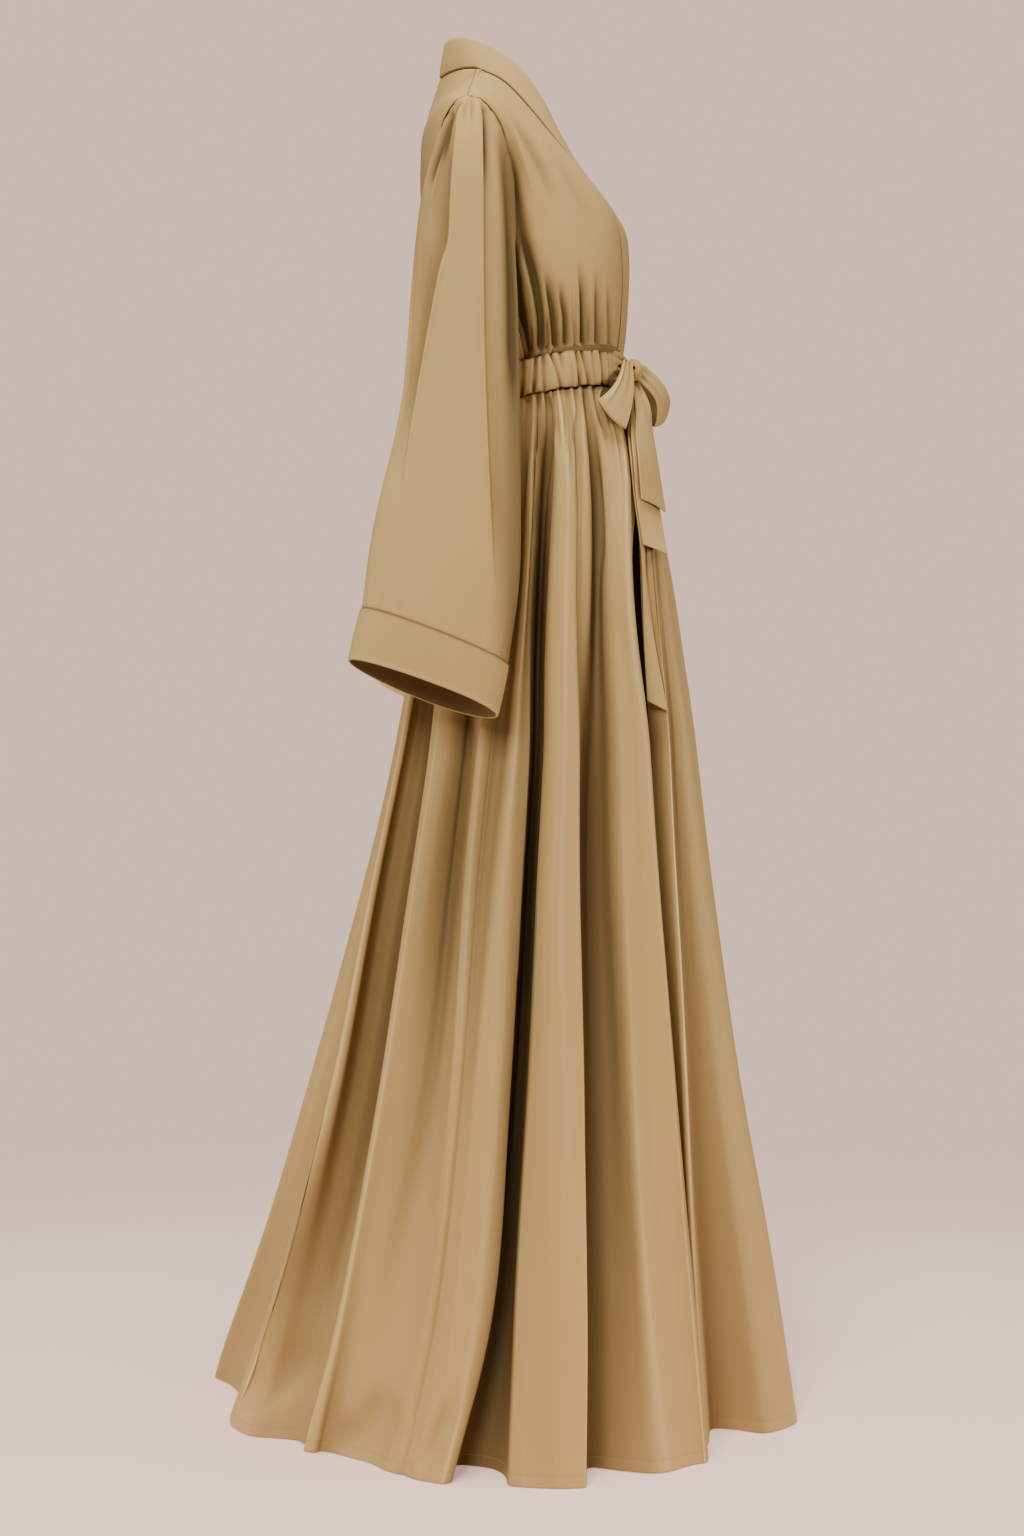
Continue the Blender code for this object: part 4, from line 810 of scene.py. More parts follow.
# bodice: two fronts and a back, gathered at the waist
bodice = {
    # right front: neck edge x y z, outer edge x y z, squareness of the section, from the waist up
    "frontRows": [
        (-0.0275, -0.155, -0.299, -0.14, -0.056, -0.322, 2.0),
        (-0.0275, -0.159, -0.262, -0.156, -0.044, -0.282, 2.4),
        (-0.0285, -0.1605, -0.2, -0.169, -0.008, -0.232, 2.5),
        (-0.033, -0.15, -0.146, -0.167, -0.042, -0.165, 2.1),
        (-0.072, -0.101, -0.093, -0.176, -0.035, -0.102, 1.7),
        (-0.081, -0.041, -0.0237, -0.186, -0.015, -0.07, 1.3),
        (-0.071, -0.0042, 0.0, -0.19, 0.004, -0.063, 1.0)],
    # right half of the back: middle y z, outer edge x y z, squareness of the section
    "backRows": [
        (0.03, -0.345, -0.14, -0.056, -0.322, 2.0), (0.04, -0.285, -0.156, -0.044, -0.282, 2.3),
        (0.05, -0.21, -0.169, -0.008, -0.232, 2.4), (0.056, -0.15, -0.167, 0.03, -0.165, 2.2),
        (0.0579, -0.1, -0.176, 0.032, -0.102, 1.9), (0.0535, -0.047, -0.186, 0.017, -0.07, 1.5)],
    # back neck seam and shoulder seam: share across, x, y, z
    "backTop": [
        (0.0, 0.0, 0.0365, 0.0103), (0.16, -0.03, 0.0245, 0.0077), (0.3, -0.055, 0.0096, 0.0045),
        (0.42, -0.071, -0.0042, 0.0), (1.0, -0.19, 0.004, -0.063)],
    "columns": 110, "step": 0.0032,
    "furrows": [           # drape of the fronts from the shoulder and the gathers above the waistband
        (0.0085, 0.005, 0.0055, 0.4, 0, -0.042, -0.17, -0.0455, -0.236, -0.052, -0.2852, -0.0565, -0.3152),
        (0.008, 0.0032, 0.006, 0.5, 0, -0.0502, -0.19, -0.0584, -0.2165, -0.0668, -0.2544,
         -0.0712, -0.2844, -0.0715, -0.31),
        (0.007, 0.0028, 0.0058, 0.5, 0, -0.074, -0.225, -0.0802, -0.2549, -0.0846, -0.2823,
         -0.0868, -0.308),
        (0.006, 0.004, 0.0024, 0.5, 0, -0.09, -0.238, -0.0951, -0.2626, -0.0985, -0.2798, -0.0995, -0.306),
        (0.007, 0.0024, 0.005, 0.5, 0, -0.11, -0.218, -0.115, -0.2457, -0.1161, -0.2708, -0.1165, -0.302),
        (0.0058, 0.0024, 0.0044, 0.5, 0, -0.13, -0.224, -0.1317, -0.2454, -0.132, -0.2706, -0.1322, -0.299),
        (0.0048, 0.0022, 0.003, 0.5, 0, -0.144, -0.235, -0.1455, -0.26, -0.1468, -0.298),
        (0.0036, 0.0016, 0.0026, 0.5, 0, -0.077, -0.275, -0.0785, -0.288, -0.0795, -0.312),
        (0.0036, 0.0018, 0.0022, 0.5, 0, -0.105, -0.268, -0.1065, -0.285, -0.108, -0.306),
        (0.0034, 0.0016, 0.0022, 0.5, 0, -0.1232, -0.27, -0.1238, -0.285, -0.1242, -0.301),
        (0.003, 0.0016, 0.002, 0.5, 0, -0.0618, -0.285, -0.063, -0.298, -0.064, -0.315),
        # lit edges between the gathers
        (-0.002, 0.0012, 0.0012, 0.5, 0, -0.056, -0.23, -0.061, -0.256, -0.064, -0.29, -0.065, -0.313),
        (-0.002, 0.0012, 0.0012, 0.5, 0, -0.074, -0.256, -0.077, -0.28, -0.079, -0.309),
        (-0.002, 0.0012, 0.0012, 0.5, 0, -0.088, -0.248, -0.0915, -0.275, -0.093, -0.307),
        (-0.002, 0.0012, 0.0012, 0.5, 0, -0.104, -0.228, -0.1062, -0.26, -0.1068, -0.304),
        (-0.002, 0.0012, 0.0012, 0.5, 0, -0.1225, -0.238, -0.1245, -0.265, -0.125, -0.301),
        (-0.0018, 0.0012, 0.0012, 0.5, 0, -0.1385, -0.228, -0.1392, -0.265, -0.1398, -0.299),
        # long soft drags from the shoulder
        (0.0075, 0.008, 0.008, 0.3, 0.5, -0.034, -0.085, -0.0399, -0.1119, -0.0482, -0.1652,
         -0.0564, -0.2062, -0.0656, -0.2472, -0.0717, -0.2882),
        (0.0045, 0.005, 0.009, 0.4, 0.5, -0.038, -0.06, -0.041, -0.0709, -0.0543, -0.0955,
         -0.0728, -0.1324, -0.083, -0.16, -0.0912, -0.1908),
        (-0.0016, 0.003, 0.003, 0.4, 0.5, -0.043, -0.08, -0.0483, -0.1037, -0.056, -0.13, -0.0647, -0.157,
         -0.07, -0.185),
        (0.0026, 0.006, 0.012, 0.5, 0.5, -0.07, -0.085, -0.095, -0.125, -0.12, -0.17, -0.133, -0.215)],
    "foldScale": 0.0088,   # a fold this deep gets the full painted shade, and on the back one of 0.6 of this
    "besideSleeve": 0.32,  # painted shadow of the sleeve on a front where it hangs in front of it
    "waistShade": 0.26,    # painted shade of a front, darker towards the waistband
    "awayShade": 0.3,      # painted shade of the back where it faces away from the lamps
    "waistSeam": (0.35, 0.003),  # painted shade and width of the dark line along the waistband
    "gatherSpacing": 0.0095, "gatherSize": 0.0026, "gatherReach": 0.06,
    "front": {"flat": (0.28, 0.36), "area": 0.064, "held": "gathered", "restsOn": ["neck_band_cloth"]},
    "back": {"flat": (0.5, 0.38), "area": 0.145, "held": "gathered", "restsOn": ["neck_band_cloth"]},
}


def arc(start, end, square, share):  # part of a section from the middle of the garment out to its side
    turn = share * np.pi / 2
    x = start[0] + (end[0] - start[0]) * np.sin(turn) ** (2 / square)
    y = end[1] + (start[1] - end[1]) * np.cos(turn) ** (2 / square)
    return np.stack([x, y, start[2] + (end[2] - start[2]) * share], 1)


def bodicePanels():
    rows = np.array(bodice["frontRows"])
    # rows follow the armhole edge above the side seam and the side seam below it
    fine = np.linspace(0, 6, 1201)
    edge = through(np.arange(7), rows[:, 3:6], fine)
    gone = run(edge)
    at = np.interp(spaced(gone[-1], bodice["step"]), gone, fine)
    at = np.unique(np.concatenate([at, [2.0]]).round(6))
    share = np.linspace(0, 1, bodice["columns"])
    share = np.unique(np.concatenate([share, [0.004, 0.012, 0.988, 0.996]]))
    keys = np.array([arc(row[:3], row[3:6], row[6], share) for row in rows])
    keys[-1] = rows[-1, :3] + (rows[-1, 3:6] - rows[-1, :3]) * share[:, None]
    front = through(np.arange(7), keys, at)
    top = np.array(bodice["backTop"])
    keys = [arc((0, row[0], row[1]), row[2:5], row[5], share) for row in bodice["backRows"]]
    neckLine = through(top[:, 0], top[:, 1:], share)
    beyond = share > top[3, 0]
    neckLine[beyond] = top[3, 1:] + (top[4, 1:] - top[3, 1:]) * ((share[beyond] - top[3, 0])
                                                                 / (1 - top[3, 0]))[:, None]
    half = through(np.arange(7), np.array(keys + [neckLine]), at)
    low = at <= 2.0
    half[low, -1] = front[low, -1]
    back = np.concatenate([mirror(half)[:, :0:-1], half], axis=1)
    for panel in (front, back):
        panel[0, :, 2] = waistHeight(panel[0, :, 1]) + cloak["bandHeight"]
    return front, back, at, share


def settle(grid, out, drawnToo, seed):  # gathers of one panel, and for a front its drawn folds too
    gone = np.concatenate([np.zeros((1, grid.shape[1])), np.cumsum(
        np.linalg.norm(np.diff(grid, axis=0), axis=2), axis=0)])
    place = run(grid[0])
    edge = smooth(np.minimum(place, place[-1] - place) / 0.012)
    plain = ripples(place[None, :], gone, seed, bodice["gatherSpacing"], bodice["gatherSize"],
                    bodice["gatherReach"]) * edge
    if drawnToo:
        plain = plain * (1 - 0.85 * smooth((-0.04 - grid[..., 1]) / 0.02))
    grid = grid - out * plain[..., None]
    return furrows(grid, out, bodice["furrows"]) if drawnToo else grid


front, back, at, share = bodicePanels()
frontOut, backOut = outward(front), outward(back)
armFront, armBack = front[at >= 2.0, -1].copy(), back[at >= 2.0, -1].copy()
neckEdge = front[:, 0].copy()
backNeck = back[-1, len(share) - 1:][share <= 0.42].copy()
settledFront = settle(front, frontOut, True, 11)
plainFront, plainBack = front.copy(), back.copy()
front = front + (settledFront - front) * np.where(share < 0.5, smooth(share / 0.05), smooth(
    (1 - share) / 0.015))[None, :, None]
settledBack = settle(back, backOut, False, 12)
shareBack = np.concatenate([share[:0:-1], share])
back = back + (settledBack - back) * smooth((1 - shareBack) / 0.04)[None, :, None]
for side in ("first column", "last column", "last row"):
    front = pinch(front, frontOut, side)
for side in ("first column", "last column", "last row"):
    back = pinch(back, backOut, side)
front[0, :, 2] = waistHeight(front[0, :, 1]) + cloak["bandHeight"]
back[0, :, 2] = waistHeight(back[0, :, 1]) + cloak["bandHeight"]
# painted shade of each point: folds, seams, what the sleeve or the waistband shades, and what faces away;
# below 0 a painted highlight on fold edges
beside = smooth((front[..., 1] + 0.105) / 0.06) * smooth((-0.15 - front[..., 2]) / 0.11)
low = smooth((-0.225 - front[..., 2]) / 0.075) * smooth((front[..., 1] + 0.165) / 0.03)
frontShade = (sunkShade(plainFront, front, frontOut, bodice["foldScale"])
              + np.clip(openness(front, frontOut, range(1, 16, 2)), 0, 1) * cloak["shutShade"]
              + seamShade(front, ("first column", "last column", "last row"))
              + seamShade(front, ("first row",), *bodice["waistSeam"]) + beside * bodice["besideSleeve"]
              + low * bodice["waistShade"])
turned = smooth((backOut[..., 1] - 0.35) / 0.4) * smooth((back[..., 2] + 0.32) / 0.15)
backShade = (sunkShade(plainBack, back, backOut, bodice["foldScale"] * 0.6)
             + np.clip(openness(back, backOut, range(1, 16, 2)), 0, 1) * cloak["shutShade"]
             + seamShade(back, ("first column", "last column"))
             + seamShade(back, ("first row",), *bodice["waistSeam"]) + turned * bodice["awayShade"])


def edged(grid, out, tucks):  # run the given edges on under their neighbours, and give the cloth its wall
    for side, amount in tucks:
        grid = tuckUnder(grid, out, side, cloak["tuckReach"] * amount, cloak["tuckSink"] * amount)
        first = side.startswith("first")
        axis = 0 if side.endswith("row") else 1
        edge = np.take(out, [0 if first else -1], axis)
        out = np.concatenate([edge, out] if first else [out, edge], axis)
    return grid, out


armholeOnly = 0.08 + 0.92 * smooth((at - 1.9) / 0.2)  # below the armhole the front covers the back
frontFace, frontNormal = edged(front, frontOut, [
    ("first row", 1.0), ("first column", np.ones(len(at) + 1)),
    ("last column", np.append(armholeOnly[:1], armholeOnly))])
backFace, backNormal = edged(back, backOut, [
    ("first row", 1.0), ("last row", 1.0), ("first column", np.ones(len(at) + 2)),
    ("last column", np.ones(len(at) + 2))])


def slideUnder(points, reference):  # the left front lies behind the right one below the neck
    low = np.clip((-0.1 - reference[..., 2]) / 0.03, 0, 1)
    moved = points.copy()
    moved[..., 1] += under(reference[..., 0], reference[..., 1]) * low
    return moved


inner = frontFace - frontNormal * cloak["wall"]
frontShade = np.pad(frontShade, ((1, 0), (1, 1)), mode="edge")
backShade = np.pad(backShade, ((1, 1), (1, 1)), mode="edge")
piece = clothMesh("bodice_front_right_cloth", frontFace, inner, hollow=frontShade)
declare(piece, clothMaterial, ["bodice_front_right"])
leftFace = slideUnder(mirror(frontFace), mirror(frontFace))
leftInner = slideUnder(mirror(inner), mirror(frontFace))
piece = clothMesh("bodice_front_left_cloth", leftFace, leftInner, hollow=frontShade)
declare(piece, clothMaterial, ["bodice_front_left"])
piece = clothMesh("bodice_back_cloth", backFace, backFace - backNormal * cloak["wall"], hollow=backShade)
declare(piece, clothMaterial, ["bodice_back"])
print("bodice")


# neck band: one folded strip round the neck and down both fronts
band = {
    # right side: seam x y z, free edge x y z, from the waist to the back neck
    "rows": [
        (-0.027, -0.1545, -0.2988, 0.01, -0.163, -0.2978),
        (-0.027, -0.159, -0.262, 0.0105, -0.1675, -0.262),
        (-0.028, -0.1605, -0.2, 0.011, -0.1705, -0.2), (-0.029, -0.157, -0.17, 0.009, -0.1675, -0.162),
        (-0.033, -0.1495, -0.146, 0.001, -0.154, -0.139),
        (-0.043, -0.1405, -0.1333, -0.011, -0.1415, -0.127),
        (-0.06, -0.119, -0.111, -0.03, -0.116, -0.0985), (-0.0715, -0.101, -0.093, -0.04, -0.1035, -0.08),
        (-0.0775, -0.0857, -0.0774, -0.048, -0.0904, -0.058),
        (-0.0805, -0.0611, -0.0455, -0.057, -0.0725, -0.025),
        (-0.0805, -0.041, -0.0237, -0.062, -0.0508, 0.003),
        (-0.0775, -0.0207, -0.008, -0.0625, -0.0275, 0.0215),
        (-0.0705, -0.0041, 0.0003, -0.059, -0.0088, 0.0322),
        (-0.055, 0.0098, 0.0047, -0.048, 0.0085, 0.0405),
        (-0.03, 0.0246, 0.008, -0.027, 0.022, 0.0452), (0.0, 0.0367, 0.0106, 0.0, 0.03, 0.0495)],
    "wall": 0.0024, "proud": 0.0009, "crown": 0.0014, "step": 0.0035,
    "seamPaintedShade": (0.85, 0.0011), "edgePaintedHighlight": (-0.12, 0.003),  # painted shade at the seam, painted highlight at the free edge: strength, width
    "flat": (0.05, 0.93), "area": 0.042, "held": "folded", "restsOn": ["bodice_back_cloth"],
}


def neckBand():
    rows = np.array(band["rows"])
    seam = np.concatenate([neckEdge, backNeck[::-1][1:]])
    fine = np.linspace(0, 15, 3001)
    table = through(np.arange(16), rows, fine)
    nearest = np.array([np.argmin(np.linalg.norm(table[:, :3] - p, axis=1)) for p in seam], float)
    nearest[0], nearest[-1] = 0, 3000
    gone = run(seam)
    even = spaced(gone[-1], band["step"], True, False)
    where = np.interp(even, gone, nearest)
    for k in range(12):  # even out the pairing of seam and free edge
        where[1:-1] = (where[:-2] + 2 * where[1:-1] + where[2:]) / 4
    seam = evenly(seam, even)
    rim = np.stack([np.interp(where / 200, fine, table[:, k]) for k in (3, 4, 5)], 1)
    across = np.concatenate([
        [0, 0.018, 0.045, 0.09], np.linspace(0.16, 0.84, 9), [0.91, 0.955, 0.982, 1.0]])
    half = seam[None] * (1 - across[:, None, None]) + rim[None] * across[:, None, None]
    grid = np.concatenate([half, mirror(half)[:, -2::-1]], axis=1)
    out = outward(grid)
    if np.sum(out[8] * np.array([0, -1, 0.3]), axis=1).mean() <= 0:  # the band faces forward and up
        out = -out
    lift = band["proud"] + band["crown"] * np.sin(np.pi * across) ** 0.6
    return grid + out * lift[:, None, None], out, grid, across


bandFace, bandOut, flatBand, bandAcross = neckBand()
columns = bandFace.shape[1]
bandInner = bandFace - bandOut * band["wall"]
for face in (bandFace, bandInner):
    left = flatBand[:, columns // 2 + 1:].copy()
    left[..., 0] = np.minimum(left[..., 0], 0.034)
    low = np.clip((-0.1 - left[..., 2]) / 0.03, 0, 1)
    sunk = under(left[..., 0], left[..., 1]) * low
    face[:, columns // 2 + 1:, 1] += sunk * (1 + 0.9 * bandAcross)[:, None]
    for end in (0, -1):
        face[:, end, 2] = waistHeight(face[:, end, 1]) + cloak["bandHeight"] - 0.002
# painted shade along the seam and a painted highlight along the free edge
bandShade = seamShade(bandFace, ("first row",), *band["seamPaintedShade"])
bandShade = bandShade + seamShade(bandFace, ("last row",), *band["edgePaintedHighlight"])
piece = clothMesh("neck_band_cloth", bandFace, bandInner, hollow=bandShade, inside=0.25)
declare(piece, trimMaterial, ["neck_band"])
print("neck band")


# sleeves and cuffs
sleeve = {
    # right sleeve below the armhole: outer x y z, inner x y z, front x y z, back x y z
    "rings": [
        (-0.219, 0.004, -0.083, -0.176, -0.006, -0.246, -0.188, -0.045, -0.168, -0.188, 0.042, -0.168),
        (-0.24, 0.006, -0.135, -0.183, -0.002, -0.275, -0.208, -0.045, -0.215, -0.208, 0.052, -0.205),
        (-0.25, 0.008, -0.235, -0.188, 0.003, -0.32, -0.219, -0.048, -0.288, -0.219, 0.059, -0.27),
        (-0.264, 0.011, -0.38, -0.196, 0.008, -0.42, -0.23, -0.05, -0.41, -0.23, 0.069, -0.385),
        (-0.285, 0.022, -0.52, -0.208, 0.022, -0.545, -0.246, -0.05, -0.55, -0.246, 0.095, -0.505),
        (-0.3, 0.034, -0.613, -0.215, 0.034, -0.627, -0.257, -0.038, -0.646, -0.257, 0.107, -0.5906)],
    "around": 200, "step": 0.0062,
    # soft folds all round: bearing round the sleeve (0 outside, 90 front), depth, share it runs down
    "folds": [(150.0, -0.004, 0.8), (205.0, 0.005, 0.8), (238.0, -0.004, 0.9), (118.0, 0.003, 1.0)],
    "furrows": [           # the pleats of the sleeve head, seen from the side
        # the long fold behind, its lit edge, and the pleat line along the middle
        # with the valley in front of it
        (0.008, 0.018, 0.0036, 0.15, 0.35, 0.011, -0.076, 0.0199, -0.1307, 0.0235, -0.1835,
         0.0255, -0.2237, 0.0338, -0.25, 0.0464, -0.3158, 0.0568, -0.3771, 0.064, -0.43, 0.072, -0.5),
        (-0.0026, 0.0012, 0.0024, 0.1, 0.2, 0.0046, -0.0722, 0.013, -0.092, 0.017, -0.1307,
         0.0195, -0.1835, 0.0212, -0.2237, 0.029, -0.25, 0.0415, -0.3158, 0.052, -0.3771, 0.06, -0.43,
         0.068, -0.5),
        (0.012, 0.006, 0.0026, 0.15, 0.3, 0.019, -0.0675, 0.029, -0.102, 0.0365, -0.1334, 0.042, -0.17),
        (0.006, 0.006, 0.004, 0.1, 0.5, 0.008, -0.066, 0.019, -0.086, 0.028, -0.115, 0.033, -0.15),
        (-0.0022, 0.0012, 0.0016, 0.05, 0.4, 0.016, -0.07, 0.0252, -0.102, 0.033, -0.1334, 0.039, -0.17,
         0.044, -0.205),
        (-0.0014, 0.0012, 0.0018, 0.05, 0.15, -0.012, -0.076, -0.0124, -0.1233, -0.0127, -0.181,
         -0.013, -0.2827, -0.0154, -0.3835, -0.0225, -0.5436, -0.026, -0.6),
        (0.005, 0.0016, 0.01, 0.02, 0.25, -0.015, -0.074, -0.0155, -0.1233, -0.0158, -0.181,
         -0.0165, -0.2827, -0.019, -0.3835, -0.0262, -0.5436, -0.0297, -0.6),
        (0.007, 0.0036, 0.005, 0.02, 0.7, -0.016, -0.069, -0.0178, -0.09, -0.019, -0.14, -0.02, -0.19),
        (0.0034, 0.0024, 0.0034, 0.05, 0.7, -0.003, -0.066, -0.003, -0.085, -0.0035, -0.12),
        (0.0034, 0.0024, 0.0034, 0.05, 0.7, 0.004, -0.066, 0.0058, -0.085, 0.007, -0.12),
        (0.0056, 0.008, 0.004, 0.2, 0.3, -0.03, -0.09, -0.039, -0.14, -0.043, -0.2, -0.045, -0.3,
         -0.046, -0.42)],
    "foldScale": 0.0112,   # a fold this deep gets the full painted shade
    "frontTurned": 0.72,   # painted shade of the sleeve behind its front edge, where it turns from the light
    "backTurned": 0.34,    # painted shade of its back, which faces away from the lamps
    "cuffSeam": 0.55,      # painted shade of the line along the cuff
    # small gathers above the cuff and below the shoulder
    "puckerSpacing": 0.011, "puckerSize": 0.0011, "puckerReach": 0.018,
    "headSpacing": 0.012, "headSize": 0.0016, "headReach": 0.02,
    "flat": (0.56, 0.6), "area": 0.2, "held": "hung", "restsOn": ["bodice_back_cloth"],
}
cuff = {
    "rings": [
        (-0.3, 0.034, -0.6135, -0.215, 0.034, -0.6275, -0.257, -0.038, -0.6465, -0.257, 0.107, -0.5911),
        (-0.305, 0.036, -0.664, -0.22, 0.039, -0.682, -0.261, -0.0275, -0.6955, -0.261, 0.119, -0.6415)],
    "wall": 0.0024, "proud": 0.0008, "crown": 0.0008, "depth": 0.052, "step": 0.004,
    "stitchDown": 0.0035,
    "seamPaintedShade": (0.8, 0.0012), "edgePaintedHighlight": (-0.1, 0.003),  # painted shade at the seam, painted highlight at the free edge: strength, width
    "flat": (0.42, 0.056), "area": 0.022, "held": "folded", "restsOn": ["sleeve_right_cloth"],
}


def ringOf(row, share):  # ring of the sleeve from its outer, inner, front and back points
    row = np.array(row)
    outside, inside, ahead, behind = row[:3], row[3:6], row[6:9], row[9:12]
    turn = share * 2 * np.pi
    c, s = np.cos(turn)[:, None], np.sin(turn)[:, None]
    middle = (outside + inside) / 2
    slide = (ahead + behind) / 2 - middle
    ring = middle + (outside - inside) / 2 * c
    ring = ring + np.where(s > 0, ahead - middle - slide, behind - middle - slide) * abs(s)
    return ring + slide * abs(s) ** 1.5


def sleeveGrid():
    n = sleeve["around"]
    share = np.arange(n) / n
    ahead, behind = armFront[::-1], armBack  # shoulder down the front, then up the back
    first = np.concatenate([evenly(ahead, np.linspace(0, run(ahead)[-1], n // 2, endpoint=False)),
                            evenly(behind, np.linspace(0, run(behind)[-1], n // 2, endpoint=False))])
    first[:, 0] -= 0.0006
    keys = [first] + [ringOf(row, share) for row in sleeve["rings"]]
    fine = through(np.arange(7), np.array(keys), np.linspace(0, 6, 601))
    gone = np.concatenate([[0], np.cumsum(np.linalg.norm(np.diff(fine, axis=0), axis=2).mean(1))])
    down = spaced(gone[-1], sleeve["step"])
    at = np.interp(down, gone, np.linspace(0, 6, 601))
    grid = through(np.arange(7), np.array(keys), at)
    out = outward(grid, True)
    bearing = share * 360
    for angle, depth, reach in sleeve["folds"]:
        apart = (bearing - angle + 180) % 360 - 180
        size = np.sin(np.pi * np.clip(at / 6 / reach, 0, 1)) ** 0.8 * depth
        grid = grid + out * np.exp(-(apart / 13.0) ** 2)[None, :, None] * size[:, None, None]
    plain = grid
    grid = grid + (furrows(grid, out, sleeve["furrows"]) - grid) * smooth(down / 0.016)[:, None, None]
    total = down[-1]
    place = run(np.concatenate([grid[-1], grid[-1][:1]]))[:-1]
    puckers = ripples(place[None, :], (total - down)[:, None], 5, sleeve["puckerSpacing"],
                      sleeve["puckerSize"], sleeve["puckerReach"])
    edge = smooth(np.minimum(place, place[-1] - place) / 0.01)
    head = ripples(place[None, :] * 0.9, down[:, None], 6, sleeve["headSpacing"],
                   sleeve["headSize"], sleeve["headReach"])
    head = head * smooth((np.cos(share * 2 * np.pi) - 0.1) / 0.5)[None, :]
    grid = grid - out * ((puckers + head) * edge)[..., None]
    grid = pinch(grid, out, "first row")
    grid = pinch(grid, out, "last row", 0.0006, 0.0016)
    # painted shade: the sleeve turning from the light at its front and back, its folds, the places closed
    # in and its seams
    ahead = smooth((-0.016 - grid[..., 1]) / 0.028) * (out[..., 0] < 0)
    behind = smooth((out[..., 1] - 0.35) / 0.4) * smooth((grid[..., 2] + 0.34) / 0.15)
    turned = sleeve["frontTurned"] * ahead + sleeve["backTurned"] * behind
    shade = (sunkShade(plain, grid, out, sleeve["foldScale"]) + turned
             + np.clip(openness(grid, out, range(1, 14, 2), True), 0, 1) * cloak["shutShade"]
             + seamShade(grid, ("first row",)) + seamShade(grid, ("last row",), sleeve["cuffSeam"]))
    return grid, out, shade


grid, out, shade = sleeveGrid()
shade = np.concatenate([shade, shade[-1:]])
grid = np.concatenate([grid, grid[-1:] + unit(grid[-1:] - grid[-2:-1]) * 0.004 - out[-1:] * 0.001])
grid[-2] -= out[-1] * 0.0008
out = np.concatenate([out, out[-1:]])
for side in ("right", "left"):
    face, normal = (grid, out) if side == "right" else (mirror(grid), mirror(out))
    piece = clothMesh(f"sleeve_{side}_cloth", face, face - normal * cloak["wall"], True, shade)
    declare(piece, clothMaterial, ["sleeve_" + side])

share = np.arange(sleeve["around"]) / sleeve["around"]
keys = np.array([ringOf(row, share) for row in cuff["rings"]])
down = spaced(cuff["depth"], cuff["step"]) / cuff["depth"]
grid = through([0, 1], keys, down)
out = outward(grid, True)
grid = grid + out * (cuff["proud"] + cuff["crown"] * np.sin(np.pi * down) ** 0.5)[:, None, None]
stitchRow = int(np.argmin(abs(down * cuff["depth"] - cuff["stitchDown"])))
for side in ("right", "left"):
    face, normal = (grid, out) if side == "right" else (mirror(grid), mirror(out))
    line = stitchLine(f"cuff_{side}_stitches", np.concatenate([face[stitchRow], face[stitchRow][:1]]),
                      np.concatenate([normal[stitchRow], normal[stitchRow][:1]]))
    # painted shade along the seam and a painted highlight along the free edge
    shade = seamShade(face, ("first row",), *cuff["seamPaintedShade"])
    shade = shade + seamShade(face, ("last row",), *cuff["edgePaintedHighlight"])
    piece = clothMesh(f"cuff_{side}_cloth", face, face - normal * cuff["wall"], True, shade, 0.72)
    declare(piece, trimMaterial, ["cuff_" + side], [line])
print("sleeves and cuffs")


# waistband: gathered casing, its right end over its left at the front
waist = {
    "middle": -0.0635, "deep": 0.0935, "half": 0.14,
    "bearings": (-4.0, 364.0), "columns": 560, "step": 0.0022, "wall": 0.0012,
    "lift": 0.0022, "leastLift": 0.001,         # of the casing off the waist, and what creases leave of it
    "puff": 0.0032, "creaseDepth": 0.0048, "creaseSpacing": 6.5, "stitchDip": 0.0007,
    "creaseShade": 1.05, "creaseLight": -0.03,  # painted shade in the creases, and least shade between them, a faint painted highlight
    "seamPaintedShade": (0.6, 0.0015),                  # painted shade and width along both edges
    # creases of the right side: bearing at the top and the bottom, strength at the top and the bottom
    "drawn": [
        (96.2, 97.0, 0.6, 1.0), (88.0, 89.5, 1.0, 1.0), (83.4, 82.8, 0.8, 0.6), (78.9, 72.3, 0.9, 0.7),
        (73.0, 71.7, 0.7, 0.0), (66.0, 64.0, 0.2, 0.5), (62.0, 59.0, 1.0, 1.0), (58.0, 51.7, 0.9, 0.8),
        (50.0, 47.0, 0.5, 0.2), (43.0, 39.5, 0.8, 0.8), (35.0, 33.0, 0.3, 0.5)],
    "stitchIn": 0.0014,
    "flat": (0.96, 0.042), "area": 0.04, "held": "gathered", "restsOn": ["skirt_back_cloth"],
}


def waistRing(bearing, out):
    turn = np.radians(bearing)
    return np.stack([-np.sin(turn) * (waist["half"] + out),
                     waist["middle"] - np.cos(turn) * (waist["deep"] + out)], -1)


